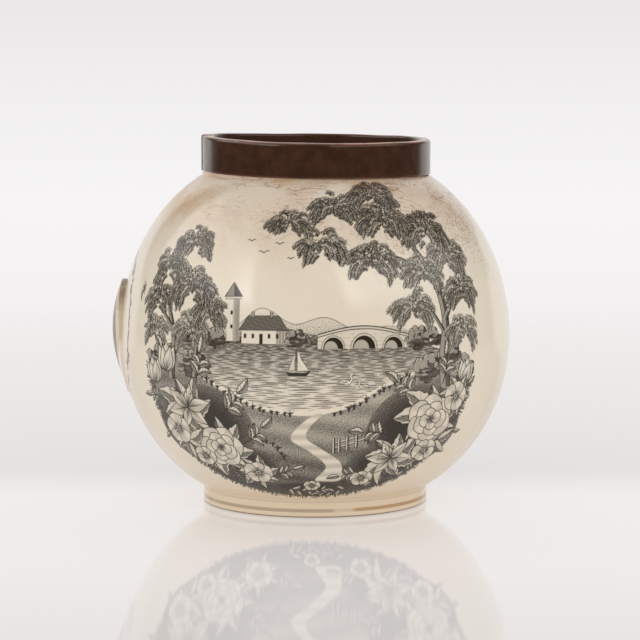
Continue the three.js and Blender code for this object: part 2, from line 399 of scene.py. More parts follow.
def turnedMesh(name, profile, around, material):
    # turns a profile that starts and ends on the axis
    places, faces = [(axisX, 0, profile[0][1])], []
    middle = profile[1:-1]
    for radius, height in middle:
        for k in range(around):
            angle = 2 * math.pi * k / around
            places.append((axisX + radius * math.cos(angle), radius * math.sin(angle), height))
    places.append((axisX, 0, profile[-1][1]))
    last = len(places) - 1
    for k in range(around):
        after = (k + 1) % around
        faces.append((0, 1 + after, 1 + k))
        for ring in range(len(middle) - 1):
            a, b = 1 + ring * around, 1 + (ring + 1) * around
            faces.append((a + k, a + after, b + after, b + k))
        top = 1 + (len(middle) - 1) * around
        faces.append((top + k, top + after, last))
    return addMesh(name, places, faces, material)


# cream glaze: crazed and stained on the shoulder, with a painted line round the foot and the print's ink

glaze = dict(
    cream=photoColour(220, 209, 191), warmCream=photoColour(217, 204, 184), stain=photoColour(191, 166, 142),
    # the tan is both rust under the collar and painted shade on the left shoulder
    lowTint=photoColour(216, 197, 168), crazeLine=photoColour(130, 90, 66), rustAndShadeTan=photoColour(194, 156, 112),
    ink=photoColour(37, 29, 17), inkWash=photoColour(75, 82, 76),
    footLineGrey=photoColour(172, 154, 131), footLineBrown=photoColour(176, 140, 102),
    # colour of the painted contact shadow and crease shade on the foot
    footShadow=photoColour(112, 84, 64),
    footLineHeight=3.4 * mm, footLineWidth=1.7 * mm, footLineGap=(16 * mm, 3 * mm, 7 * mm), roughness=0.13,
)


# thin, broken sprig printed on the glaze round the boss, in an oval about the boss's own height
sprig = dict(
    halfWidth=35.0 * mm, halfHeight=38 * mm, centre=89 * mm, waver=0.13, thickness=0.9 * mm, strength=0.92,
    leaf=(48 * mm, 109.5 * mm), leafSize=(2.2 * mm, 5.5 * mm), colour=photoColour(108, 90, 90),
)


def squareSum(tree, first, second):
    return maths(tree, "ADD", times(tree, first, first), times(tree, second, second))


def sprigRound(tree, parts, colour):
    # a broken stem with small leaves in an oval round the boss, and one leaf by itself
    fromBoss = minus(tree, axisX, parts["X"])
    turn = maths(tree, "ABSOLUTE", maths(tree, "ARCTAN2", parts["Y"], fromBoss))
    across = times(tree, turn, bellyRadius)
    height = parts["Z"]
    shareX = maths(tree, "DIVIDE", across, sprig["halfWidth"])
    shareZ = maths(tree, "DIVIDE", minus(tree, height, sprig["centre"]), sprig["halfHeight"])
    reach = maths(tree, "SQRT", squareSum(tree, shareX, shareZ))
    flat = addNode(tree, "CombineXYZ", {"X": across, "Y": height}).outputs[0]
    waver = times(tree, minus(tree, noise(tree, flat, 75.0, 2.0), 0.5), sprig["waver"])
    away = maths(tree, "ABSOLUTE", minus(tree, maths(tree, "ADD", reach, waver), 1.0))
    edge = sprig["thickness"] / sprig["halfWidth"]
    unbroken = ramp(tree, noise(tree, flat, 170.0, 2.0), 0.34, 0.44)
    stem = times(tree, ramp(tree, away, edge * 0.6, edge * 1.4, 1.0, 0.0), unbroken)
    spots = addNode(tree, "TexVoronoi", {"Vector": flat, "Scale": 230.0}).outputs["Distance"]
    leaves = times(tree, ramp(tree, spots, 0.27, 0.42, 1.0, 0.0), ramp(tree, away, 0.05, 0.10, 0.85, 0.0))
    alongLeaf = maths(tree, "DIVIDE", minus(tree, height, sprig["leaf"][1]), sprig["leafSize"][1])
    acrossLeaf = maths(tree, "DIVIDE", minus(tree, across, sprig["leaf"][0]), sprig["leafSize"][0])
    outside = squareSum(tree, alongLeaf, acrossLeaf)
    grainy = ramp(tree, noise(tree, flat, 420.0, 2.0), 0.38, 0.52)
    leaf = times(tree, ramp(tree, outside, 0.5, 1.2, 1.0, 0.0), grainy)
    marks = maths(tree, "MAXIMUM", maths(tree, "MAXIMUM", stem, leaves), leaf)
    return mixColour(tree, times(tree, marks, sprig["strength"]), colour, sprig["colour"])


def stainsAndShadeOnShoulder(tree, place, parts, patches, colour):
    # stain creeping down from the collar in patches
    height = parts["Z"]
    stained = times(tree, ramp(tree, height, 0.118, 0.160), ramp(tree, patches, 0.42, 0.70, 0.28, 0.90))
    underCollar = ramp(tree, height, 0.1605, 0.1630, 0.0, 0.40)
    colour = mixColour(tree, maths(tree, "ADD", stained, underCollar, clamp=True), colour, glaze["stain"])
    # rusty patches close under the collar, and a ragged tan band of painted shade on the left shoulder
    rustAndShade = ramp(tree, noise(tree, stretched(tree, place, 1, 1, 2.4), 38.0, 3.0), 0.54, 0.68)
    rustAndShade = times(tree, rustAndShade, ramp(tree, height, 0.144, 0.1635, 0.0, 0.46))
    # painted shade: a tan band along the left outline of the shoulder
    shadeBand = times(tree, ramp(tree, parts["X"], -0.038, -0.058), ramp(tree, height, 0.138, 0.152))
    ragged = ramp(tree, noise(tree, place, 45.0, 4.0, 0.6), 0.30, 0.50, 0.10, 0.62)
    rustAndShade = maths(tree, "MAXIMUM", rustAndShade, times(tree, shadeBand, ragged))
    return mixColour(tree, rustAndShade, colour, glaze["rustAndShadeTan"])

def crazing(tree, place, parts):
    # a fine net near the top, stronger to the right, and long cracks drawn out sideways under the collar
    wobble = noise(tree, place, 170.0, 3.0, 0.6, output=1)
    scaled = addNode(tree, "VectorMath", {0: wobble, "Scale": 0.0045}, operation="SCALE").outputs[0]
    shifted = addNode(tree, "VectorMath", {0: place, 1: scaled}, operation="ADD").outputs[0]
    cells = addNode(tree, "TexVoronoi", {"Vector": shifted, "Scale": 430.0}, feature="DISTANCE_TO_EDGE")
    net = ramp(tree, cells.outputs["Distance"], 0.0, 0.070, 1.0, 0.0)
    net = times(tree, net, ramp(tree, noise(tree, place, 75.0, 2.0), 0.42, 0.62))
    net = times(tree, net, ramp(tree, parts["Z"], 0.100, 0.150, 0.10, 1.0))
    net = times(tree, net, ramp(tree, parts["X"], -0.010, 0.055, 0.20, 0.85))
    drawnOut = noise(tree, stretched(tree, shifted, 0.6, 0.6, 5), 26.0, 2.0, 0.45)
    flow = maths(tree, "FRACT", times(tree, drawnOut, 17.0))
    cracks = ramp(tree, maths(tree, "ABSOLUTE", minus(tree, flow, 0.5)), 0.0, 0.13, 1.0, 0.0)
    cracks = times(tree, cracks, ramp(tree, noise(tree, place, 60.0, 3.0), 0.38, 0.58, 0.12, 1.0))
    cracks = times(tree, cracks, ramp(tree, parts["X"], -0.045, -0.005, 0.40, 1.0))
    cracks = times(tree, cracks, ramp(tree, parts["Z"], 0.126, 0.150, 0.0, 0.72))
    return maths(tree, "MAXIMUM", net, cracks)

def footLine(tree, place, parts, colour):
    # painted line on the foot, grey to the left and brown to the right, worn through in places
    away = maths(tree, "ABSOLUTE", minus(tree, parts["Z"], glaze["footLineHeight"]))
    onFoot = ramp(tree, away, glaze["footLineWidth"] * 0.42, glaze["footLineWidth"] * 0.60, 1.0, 0.0)
    onFoot = times(tree, onFoot, ramp(tree, noise(tree, place, 60.0, 3.0), 0.30, 0.45, 0.60, 0.95))
    gapMiddle, gapEnd, gapStart = glaze["footLineGap"]
    fromGap = maths(tree, "ABSOLUTE", minus(tree, parts["X"], gapMiddle))
    onFoot = times(tree, onFoot, ramp(tree, fromGap, gapEnd, gapStart, 0.35, 1.0))
    side = ramp(tree, parts["X"], 0.012, 0.022)
    lineColour = mixColour(tree, side, glaze["footLineGrey"], glaze["footLineBrown"])
    return mixColour(tree, onFoot, colour, lineColour)

def shadedFoot(tree, parts, colour):
    # painted contact shadow on the edge that stands on the table, and painted shade in the crease where the
    # globe meets the foot
    # painted contact shadow along the standing edge
    contactShadow = ramp(tree, parts["Z"], 0.0004, 0.0009, 0.85, 0.0)
    fromCrease = maths(tree, "ABSOLUTE", minus(tree, parts["Z"], jarShape["footHeight"] - 0.8 * mm))
    # painted shade in the crease above the foot
    creaseShade = ramp(tree, fromCrease, 0.0001, 0.0007, 0.22, 0.0)
    return mixColour(tree, maths(tree, "MAXIMUM", contactShadow, creaseShade), colour, glaze["footShadow"])

def inked(tree, colour):
    # ink of the print, a little heavier than its share of each cell
    bare = minus(tree, 1.0, addNode(tree, "Attribute", attribute_name="ink").outputs["Fac"])
    ink = minus(tree, 1.0, times(tree, bare, bare))
    return mixColour(tree, ink, colour, mixColour(tree, ink, glaze["inkWash"], glaze["ink"]))

def glazeMaterial():
    material, tree = newMaterial("creamGlaze")
    place = addNode(tree, "TexCoord").outputs["Object"]
    parts = addNode(tree, "SeparateXYZ", {"Vector": place}).outputs
    # broad warm and cool areas, warmer towards the foot
    broad = noise(tree, place, 14.0, 3.0, 0.55)
    colour = mixColour(tree, ramp(tree, broad, 0.35, 0.70), glaze["cream"], glaze["warmCream"])
    colour = mixColour(tree, ramp(tree, parts["Z"], 0.008, 0.026, 0.85, 0.0), colour, glaze["lowTint"])
    patches = noise(tree, place, 30.0, 4.0, 0.6)
    colour = stainsAndShadeOnShoulder(tree, place, parts, patches, colour)
    crazed = crazing(tree, place, parts)
    colour = mixColour(tree, crazed, colour, glaze["crazeLine"])
    colour = footLine(tree, place, parts, colour)
    # painted contact shadow and crease shade on the foot
    colour = shadedFoot(tree, parts, colour)
    colour = sprigRound(tree, parts, colour)
    colour = inked(tree, colour)
    # glossy skin with a slight orange peel, and the crazing just felt
    peel = bump(tree, noise(tree, place, 420.0, 2.0), 0.00002, 0.35)
    waves = bump(tree, noise(tree, place, 38.0, 2.0), 0.00025, 0.30, peel)
    skin = bump(tree, crazed, 0.00004, 0.4, waves)
    rough = ramp(tree, patches, 0.3, 0.8, glaze["roughness"] * 0.8, glaze["roughness"] * 1.5)
    finishMaterial(tree, Base_Color=colour, Roughness=rough, Normal=skin, IOR=1.5)
    return material

creamGlaze = glazeMaterial()
jar = turnedMesh("jar_glazed", jarProfile(), jarShape["around"], creamGlaze)
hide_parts("jar_body")
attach(jar, "root")
print("stage 3: glazed jar, %d faces" % len(jar.data.polygons))


# printed vignette: sizes in millimetres on the glaze, u to the right and v up from the print's middle,
# places written as complex numbers u + v*1j
vignette = dict(halfWidth=102.0, halfHeight=90.0, dotsPerMm=10, dotsPerCell=3, seed=21)

dots = vignette["dotsPerMm"]
sheetRows = int(2 * vignette["halfHeight"] * dots)
sheetColumns = int(2 * vignette["halfWidth"] * dots)
plate = np.zeros((sheetRows, sheetColumns), np.float32)      # 0 bare glaze, 1 full ink
chance = np.random.default_rng(vignette["seed"])


def sheetPlaces(window):
    rows, columns = window
    v = vignette["halfHeight"] - (np.arange(rows.start, rows.stop) + 0.5) / dots
    u = (np.arange(columns.start, columns.stop) + 0.5) / dots - vignette["halfWidth"]
    return u[None, :] + 1j * v[:, None]


def dotsInside(outline):
    # window of the plate round an outline, and which of its dots lie inside
    x = (outline.real + vignette["halfWidth"]) * dots
    y = (vignette["halfHeight"] - outline.imag) * dots
    top, bottom = max(0, int(y.min())), min(sheetRows, int(y.max()) + 2)
    left, right = max(0, int(x.min())), min(sheetColumns, int(x.max()) + 2)
    if top >= bottom or left >= right:
        return (slice(0, 0), slice(0, 0)), np.zeros((0, 0), bool)
    rows = np.arange(top, bottom)[:, None] + 0.5
    nextX, nextY = np.roll(x, -1), np.roll(y, -1)
    turn = ((y <= rows) & (nextY > rows)).astype(int) - ((nextY <= rows) & (y > rows))
    row, edge = np.nonzero(turn)
    crossing = x[edge] + (rows[row, 0] - y[edge]) * (nextX[edge] - x[edge]) / (nextY[edge] - y[edge])
    column = np.clip(np.ceil(crossing - 0.5).astype(int) - left, 0, right - left)
    winding = np.zeros((bottom - top, right - left + 1), int)
    np.add.at(winding, (row, column), turn[row, edge])
    return (slice(top, bottom), slice(left, right)), np.cumsum(winding, axis=1)[:, :-1] != 0


def lay(outline, tone, over=True):
    # over=True covers what is there and over=False only adds ink to it;
    # tone is a number or a function of the places
    window, mask = dotsInside(np.asarray(outline))
    if not mask.any():
        return
    value = tone(sheetPlaces(window)) if callable(tone) else tone
    part = plate[window]
    if not over:
        value = np.maximum(part, value)
    part[mask] = value[mask] if isinstance(value, np.ndarray) else value


def hatched(angle, spacing, share, dark=0.85, light=0.0):
    # lines across a shape: share of each spacing is dark
    turn = np.exp(-1j * math.radians(angle))

    def tone(places):
        return np.where((places * turn).imag / spacing % 1.0 < share, dark, light).astype(np.float32)
    return tone


def makeGrain():
    # a field of jittered dots: where it is below a tone, there is ink, so that a tone becomes stipple
    pitch = 0.5
    rows, columns = int(2 * vignette["halfHeight"] / pitch) + 3, int(2 * vignette["halfWidth"] / pitch) + 3
    jitter = chance.uniform(0.12, 0.88, (2, rows, columns))
    y = (np.arange(sheetRows) + 0.5) / dots / pitch + 1
    x = (np.arange(sheetColumns) + 0.5) / dots / pitch + 1
    nearest = np.full((sheetRows, sheetColumns), 9.0, np.float32)
    cellY, cellX = y.astype(int), x.astype(int)
    for stepY in (-1, 0, 1):
        for stepX in (-1, 0, 1):
            r, c = np.clip(cellY + stepY, 0, rows - 1), np.clip(cellX + stepX, 0, columns - 1)
            spotY = r[:, None] + jitter[0][np.ix_(r, c)]
            spotX = c[None, :] + jitter[1][np.ix_(r, c)]
            nearest = np.minimum(nearest, (y[:, None] - spotY) ** 2 + (x[None, :] - spotX) ** 2)
    # coverage of a radius, so that the threshold is the tone itself
    sample = np.sort(nearest[::7, ::7].ravel())
    return np.interp(nearest, sample, np.linspace(0, 1, len(sample))).astype(np.float32)


grain = makeGrain()


def stippled(toneOf, dark=0.92):
    def tone(places):
        rows = np.round((vignette["halfHeight"] - places.imag[:, 0]) * dots - 0.5).astype(int)
        columns = np.round((places.real[0] + vignette["halfWidth"]) * dots - 0.5).astype(int)
        level = toneOf(places) if callable(toneOf) else toneOf
        return np.where(grain[np.ix_(rows, columns)] < level, dark, 0.0).astype(np.float32)
    return tone


def washed(toneOf, wash=0.42):
    # a grey wash with finer dots in it
    dotted = stippled(toneOf)

    def tone(places):
        level = toneOf(places) if callable(toneOf) else toneOf
        return (np.clip(level, 0, 1) * wash + dotted(places) * (0.92 - wash)).astype(np.float32)
    return tone


# lines and outlines

def throughPoints(points, steps=8, closed=False):
    # a smooth curve through given points
    p = np.asarray(points, complex)
    p = np.concatenate([p[-1:], p, p[:2]]) if closed else np.concatenate([p[:1], p, p[-1:]])
    t = np.linspace(0, 1, steps, endpoint=False)[:, None]
    a, b, c, d = p[:-3], p[1:-2], p[2:-1], p[3:]
    squares, cubes = 2 * a - 5 * b + 4 * c - d, 3 * b - a - 3 * c + d
    spans = 0.5 * (2 * b + (c - a) * t + squares * t ** 2 + cubes * t ** 3)
    line = spans.T.ravel()
    return line if closed else np.append(line, p[-2])


def bent(start, middle, end, steps=10):
    t = np.linspace(0, 1, steps)
    return (1 - t) ** 2 * start + 2 * t * (1 - t) * middle + t ** 2 * end


def stroke(line, width, tone=0.9, over=False, taper=(0.3, 0.3)):
    # a cut line, thinner towards its ends
    line = np.asarray(line, complex)
    t = np.linspace(0, 1, len(line))
    start, end = taper
    swell = np.minimum(1, np.minimum(start + (1 - start) * t * 4, end + (1 - end) * (1 - t) * 4))
    along = np.gradient(line)
    half = 1j * along / np.maximum(np.abs(along), 1e-9) * swell * width / 2
    lay(np.concatenate([line + half, (line - half)[::-1]]), tone, over)


def outlined(outline, tone, line=0.3, lineTone=0.92):
    # a shape with a dark edge
    lay(outline, tone)
    closed = np.append(outline, outline[:1])
    stroke(closed, line, lineTone, taper=(1, 1))


def leafShape(root, tip, fatness=0.32, droop=0.12, steps=9):
    # pointed oval from root to tip, bent a little to one side
    axis = tip - root
    t = np.linspace(0, 1, steps)
    spine = root + axis * t - 1j * axis * droop * np.sin(math.pi * t)
    width = np.abs(axis) * fatness * np.sin(math.pi * t ** 0.8) ** 0.85
    side = 1j * axis / abs(axis)
    return spine, spine + side * width / 2, spine - side * width / 2


def bigLeaf(root, tip, fatness=0.42, droop=0.1, dark=0.8, pale=0.1, veins=6):
    # one half in shade with pale veins, the other pale with dark veins
    spine, left, right = leafShape(root, tip, fatness, droop, 13)
    whole = np.concatenate([left, right[::-1]])
    lay(whole, pale)
    shaded = right if (tip - root).real > 0 else left
    lay(np.concatenate([spine, shaded[::-1]]), dark)
    for k in range(1, veins + 1):
        i = 1 + int(k * 9 / veins)
        j = min(12, i + 2)
        stroke([spine[i], spine[i] * 0.35 + left[j] * 0.65, left[j]], 0.22, 0.7 if shaded is right else 0.15,
               over=True, taper=(1, 0.2))
        stroke([spine[i], spine[i] * 0.35 + right[j] * 0.65, right[j]], 0.22, 0.15 if shaded is right else 0.7,
               over=True, taper=(1, 0.2))
    stroke(spine, 0.28, 0.05, over=True, taper=(1, 0.2))
    edge = np.concatenate([left, right[::-1], left[:1]])
    stroke(edge, 0.30, 0.95, taper=(1, 1))


# trees: sprays of small drooping leaves, built up from the tips so that upper leaves cover lower ones

leafAlong = np.array([0, 0.18, 0.42, 0.68, 0.88, 1.0])
leafAcross = np.array([0, 0.30, 0.44, 0.38, 0.20, 0])


def smallLeaf(root, heading, size, shade, mid, lit):
    # dark leaf, its face a little higher, and a lit rim along its upper side
    axis = size * np.exp(1j * heading)
    upper = 1 if axis.real >= 0 else -1
    top = leafAlong + 1j * upper * leafAcross
    low = leafAlong - 1j * upper * leafAcross
    lay(root + axis * np.concatenate([top, low[::-1]]), shade)
    face = leafAlong * 0.9 + 1j * upper * leafAcross * 0.95
    lay(root + axis * np.concatenate([face, (leafAlong * 0.9 - 1j * upper * leafAcross * 0.35)[::-1]]), mid)
    if lit is not None:
        rim = leafAlong[1:-1] * 0.95 + 1j * upper * leafAcross[1:-1] * 0.92
        under = leafAlong[1:-1] * 0.95 + 1j * upper * (leafAcross[1:-1] * 0.92 - 0.34)
        lay(root + axis * np.concatenate([rim, under[::-1]]), lit)


def spray(root, heading, length, leaf=2.1, shade=0.92, mid=0.66, litShare=0.5, lit=0.08, droop=0.75):
    # a drooping finger of leaves in pairs, the tip first
    pairs = max(2, int(round(length / (leaf * 0.50))))
    t = np.linspace(0, 1, pairs + 1)
    down = -math.pi / 2 if heading > -math.pi / 2 else heading
    if heading > math.pi / 2:
        down = 1.5 * math.pi
    angles = heading + (down - heading) * droop * t
    line = root + np.concatenate([[0], np.cumsum(np.exp(1j * angles[:-1]))]) * length / pairs
    for i in range(pairs, -1, -1):
        size = leaf * (1.0 - 0.25 * t[i]) * chance.uniform(0.85, 1.15)
        spots = [(0.0, 0.0)] if i == pairs else [(0.95, 0.25), (-0.95, 0.25), (0.1, 0.0)]
        for lean, push in spots:
            turn = angles[i] + lean * (0.9 + 0.2 * chance.uniform(-1, 1))
            bright = lit + chance.uniform(0, 0.25) if chance.random() < litShare else None
            smallLeaf(line[i] + push * leaf * 0.3 * np.exp(1j * turn), turn, size, shade,
                      mid + chance.uniform(-0.12, 0.12), bright)


def foliagePad(middle, width, height, leaf, shade, mid, lit=0.02, litShare=0.85):
    # an umbrella of drooping sprays: the lowest first, the crown last
    count = int(width * height / leaf ** 2 * 0.25)
    for spot in chance.uniform(-1, 1, (count // 2, 2)):
        root = middle + complex(spot[0] * width * 0.26, (spot[1] * 0.5 + 0.5) * height * 0.22)
        heading = -math.pi / 2 + spot[0] * 0.9 + chance.normal(0, 0.3)
        spray(root, heading, min(0.22 * width, leaf * 3), leaf, shade, mid + 0.06, 0.1, lit)
    shares = np.tile(np.linspace(-1, 1, 7), count // 7 + 1)[:count] + chance.normal(0, 0.12, count)
    levels = np.sort(chance.uniform(-1, 1, count))
    for share, level in zip(np.clip(chance.permutation(shares), -1, 1), levels):
        arch = 1 - 0.6 * share ** 2
        root = middle + complex(share * width * 0.25, (level * 0.36 * arch - 0.10 * share ** 2) * height)
        lean = share * 1.75 if level > 0 else math.copysign(1.5 + 0.9 * abs(share), share)
        heading = math.pi / 2 - lean + chance.normal(0, 0.35)
        length = min(0.33 * width, leaf * 4.6) * chance.uniform(0.7, 1.15) * (0.6 + 0.4 * abs(share))
        inner = max(0.0, 1 - abs(level - 0.25) * 0.9) * max(0.0, 1 - share ** 2 * 0.9)
        bright = chance.random() < inner
        spray(root, heading, length, leaf, shade, mid - (0.14 if bright else 0),
              litShare if bright else 0.26, lit)


def trunk(points, startWidth, endWidth, dark=0.85):
    line = throughPoints(points, 8)
    t = np.linspace(0, 1, len(line))
    width = startWidth + (endWidth - startWidth) * t
    along = np.gradient(line)
    normal = 1j * along / np.abs(along)
    left, right = line + normal * width / 2, line - normal * width / 2
    lay(np.concatenate([left, right[::-1]]), hatched(20, 0.55, 0.45, 0.75, 0.08))
    lay(np.concatenate([line - normal * width * 0.05, right[::-1]]), hatched(-30, 0.45, 0.75, dark, 0.3))
    stroke(left, 0.3, 0.9, taper=(1, 0.5))
    stroke(right, 0.4, 0.95, taper=(1, 0.5))


# flowers and plants of the two foreground banks

def petalShape(root, heading, length, fatness=0.7, point=0.0, notch=0.0, steps=13):
    t = np.linspace(0, 1, steps)
    width = fatness * np.sin(math.pi * t ** (0.75 + 0.5 * (1 - point))) ** (0.7 + 0.6 * point)
    tip = np.where(t > 0.9, 1 - notch, 1.0)
    axis = length * np.exp(1j * heading)
    left = root + axis * (t * tip + 0.5j * width)
    right = root + axis * (t * tip - 0.5j * width)
    return left, right, axis


def petal(root, heading, length, fatness, point, veins, shade, notch=0.0):
    # paper-white petal with a dark edge, fine veins from its root and one side in soft shade
    left, right, axis = petalShape(root, heading, length, fatness, point, notch)
    outline = np.concatenate([left, right[::-1]])

    def tone(places):
        out = np.abs(places - root) / length
        return 0.02 + 0.55 * np.exp(-(out / 0.34) ** 2) + 0.10 * out ** 6
    lay(outline, tone)
    shading = hatched(math.degrees(heading) + 20, 0.55, shade, 0.75, 0.05)
    lay(np.concatenate([(left + right) / 2, right[::-1]]), shading)
    for k in range(veins):
        side = (k + 0.5) / veins * 2 - 1
        reach = chance.uniform(0.40, 0.72) * (1 - 0.35 * side ** 2)
        bend = root + axis * (reach * 0.5 + 0.19j * side * fatness)
        end = root + axis * (reach + 0.30j * side * fatness)
        stroke([root + axis * 0.06, bend, end], 0.20, 0.8, taper=(1, 0.1))
    stroke(np.append(outline, outline[:1]), 0.32, 0.95, taper=(1, 1))

def ring(middle, radius, steps=10):
    return middle + radius * np.exp(2j * math.pi * np.arange(steps) / steps)


def tilted(heading, tilt):
    # direction and shortening of a petal in a flower that is seen from one side
    across, up = math.cos(heading), tilt * math.sin(heading)
    return math.atan2(up, across), math.hypot(across, up)

def wildRose(middle, radius, turn=0.0, tilt=1.0):
    # open flower: broad notched petals, a stippled eye and a ring of stamens
    for k in range(5):
        angle, squash = tilted(turn + 2 * math.pi * k / 5, tilt)
        petal(middle, angle, radius * squash, 0.98, 0.0, 7, 0.16, notch=0.06)
    for k in range(14):
        reach = radius * 0.34 * chance.uniform(0.8, 1.15)
        end = middle + reach * np.exp(2j * math.pi * (k + chance.uniform(-0.3, 0.3)) / 14)
        stroke([middle, end], 0.18, 0.9, taper=(1, 1))
        lay(ring(end, 0.28, 6), 0.95)
    outlined(ring(middle, radius * 0.15), 0.1, 0.25)
    lay(ring(middle, radius * 0.08), 0.8)

def doubleRose(middle, radius, turn=0.0, tilt=0.9):
    # several whorls of rounded petals, the inner ones cupped
    for whorl, (reach, count, fat) in enumerate([(1.0, 6, 0.95), (0.72, 5, 0.95), (0.46, 4, 1.0)]):
        for k in range(count):
            angle, squash = tilted(turn + whorl * 0.6 + 2 * math.pi * k / count, tilt)
            petal(middle, angle, radius * reach * squash, fat, 0.0, 6, 0.15)
    for k in range(6):
        lay(ring(middle + radius * 0.13 * np.exp(1j * k * 1.05), 0.35, 6), 0.9)

def lily(middle, radius, turn=0.0, tilt=0.8):
    # six pointed petals with dark mid lines, and long stamens
    for start in (0.5, 0.0):
        for k in range(3):
            angle, squash = tilted(turn + 2 * math.pi * (k + start) / 3, tilt)
            petal(middle, angle, radius * squash, 0.46, 1.0, 4, 0.22)
            stroke([middle, middle + 0.8 * radius * squash * np.exp(1j * angle)], 0.35, 0.9, taper=(1, 0.1))
    for k in range(6):
        end = middle + radius * 0.5 * np.exp(1j * (turn + 0.5 + k * 0.35))
        stroke(bent(middle, middle + (end - middle) * 0.6 + 0.6j, end, 6), 0.22, 0.9, taper=(1, 1))
        lay(ring(end, 0.42, 6), 0.95)

def tulip(base, height, lean=0.0):
    # a cup of pointed petals
    for side, spread, length in ((0.42, 0.52, 1.0), (-0.42, 0.52, 1.0), (0.0, 0.62, 1.05),
                                 (0.24, 0.5, 0.92), (-0.24, 0.5, 0.92)):
        petal(base, math.pi / 2 + lean + side, height * length, spread, 1.0, 5, 0.2)

def fern(line, leafLength, tone=0.9, pairs=16):
    line = throughPoints(line, 8)
    spots = np.linspace(0.08, 0.97, pairs)
    along = np.gradient(line)
    stroke(line, 0.45, tone, taper=(1, 0.2))
    for spot in spots:
        i = int(spot * (len(line) - 1))
        direction = along[i] / abs(along[i])
        reach = leafLength * math.sin(math.pi * min(1, 0.12 + spot * 0.88)) ** 0.8
        for side in (1, -1):
            tip = line[i] + direction * np.exp(1j * side * 1.05) * reach
            spine, left, right = leafShape(line[i], tip, 0.30, 0.1 * side, 7)
            whole = np.concatenate([left, right[::-1]])
            lay(whole, tone)
            stroke([line[i], tip * 0.8 + line[i] * 0.2], 0.22, 0.05, over=True, taper=(1, 0.3))


def twig(line, leafLength, leaves=7, pale=0.12, dark=0.75, fatness=0.36):
    # a stem with pointed leaves in turn on either side and one at the end
    line = throughPoints(line, 8)
    along = np.gradient(line)
    stroke(line, 0.55, 0.92, taper=(1, 0.4))
    for k in range(leaves):
        i = int((0.2 + 0.75 * k / max(1, leaves - 1)) * (len(line) - 1))
        side = 1 if k % 2 else -1
        direction = along[i] / abs(along[i]) * np.exp(1j * side * 0.85)
        smallPlantLeaf(line[i], line[i] + direction * leafLength * (1 - 0.3 * k / leaves), fatness, pale, dark)
    smallPlantLeaf(line[-1], line[-1] + along[-1] / abs(along[-1]) * leafLength * 0.8, fatness, pale, dark)


def smallPlantLeaf(root, tip, fatness=0.36, pale=0.12, dark=0.75):
    spine, left, right = leafShape(root, tip, fatness, 0.08, 9)
    lay(np.concatenate([left, right[::-1]]), pale)
    lay(np.concatenate([spine, right[::-1]]), dark)
    stroke(spine, 0.2, 0.9, taper=(1, 0.2))
    stroke(np.concatenate([left, right[::-1], left[:1]]), 0.26, 0.95, taper=(1, 1))


def grass(root, height, count=7, spread=0.6, tone=0.9):
    for k in range(count):
        lean = (k / max(1, count - 1) - 0.5) * 2 * spread + chance.normal(0, 0.08)
        tip = root + height * chance.uniform(0.7, 1.1) * np.exp(1j * (math.pi / 2 - lean))
        stroke(bent(root + 0.3 * chance.normal(), root + height * 0.55j, tip), 0.5, tone, taper=(1, 0.1))


def bush(middle, width, height, tone=0.7, lit=0.15, lobe=1.5):
    # rounded shrub of scallops, lit from the upper left
    count = int(width * height / lobe ** 2 * 0.9)
    spots = []
    for k in range(count):
        angle, reach = chance.uniform(0, 2 * math.pi), math.sqrt(chance.uniform(0, 1))
        spots.append(complex(math.cos(angle) * reach, math.sin(angle) * reach))
    for spot in sorted(spots, key=lambda s: s.imag):
        place = middle + complex(spot.real * width / 2, spot.imag * height / 2)
        size = lobe * chance.uniform(0.8, 1.25)
        arc = place + size * np.exp(1j * np.linspace(-0.3, math.pi + 0.3, 9))
        bright = (spot.imag - spot.real * 0.6) > chance.uniform(-0.5, 0.9)
        fill = lit + 0.25 if bright else tone + chance.uniform(-0.12, 0.1)
        lay(np.append(arc, place - 0.5j * size), fill)
        stroke(arc, 0.28, 0.92, taper=(0.4, 0.4))
        if bright:
            shine = place + size * 0.72 * np.exp(1j * np.linspace(0.5, math.pi - 0.1, 6))
            stroke(shine, 0.35, lit, over=True)


# the engraved scene, from the far hills to the near flowers

def farLand():
    hills = [([-66 + 8j, -50 + 17j, -36 + 13j, -22 + 21j, -6 + 14j, 10 + 17j,
               26 + 11j, 44 + 13j, 62 + 7j], 0.30, 0.55),
             ([-70 + 6j, -54 + 11j, -40 + 9j, -18 + 13j, 6 + 9j, 30 + 9j, 50 + 8j, 66 + 5j], 0.48, 0.5)]
    for crest, tone, spacing in hills:
        line = throughPoints(crest, 8)
        shape = np.concatenate([line, [66 + 0j, -70 + 0j]])
        lay(shape, stippled(lambda p: tone - 0.018 * (p.imag - 4)))
        stroke(line, 0.22, 0.75, taper=(0.2, 0.2))
    for u in np.arange(-64, 62, 3.1):
        bush(u + chance.normal(0, 0.6) + 5.5j, 4.4, 4.6 + 1.6 * math.sin(u * 0.35), 0.75, 0.3, 0.9)


def rectangle(left, low, right, high):
    return np.array([left + low * 1j, left + high * 1j, right + high * 1j, right + low * 1j])

def halfRound(middle, radius):
    return middle + radius * np.exp(1j * np.linspace(0, math.pi, 15))

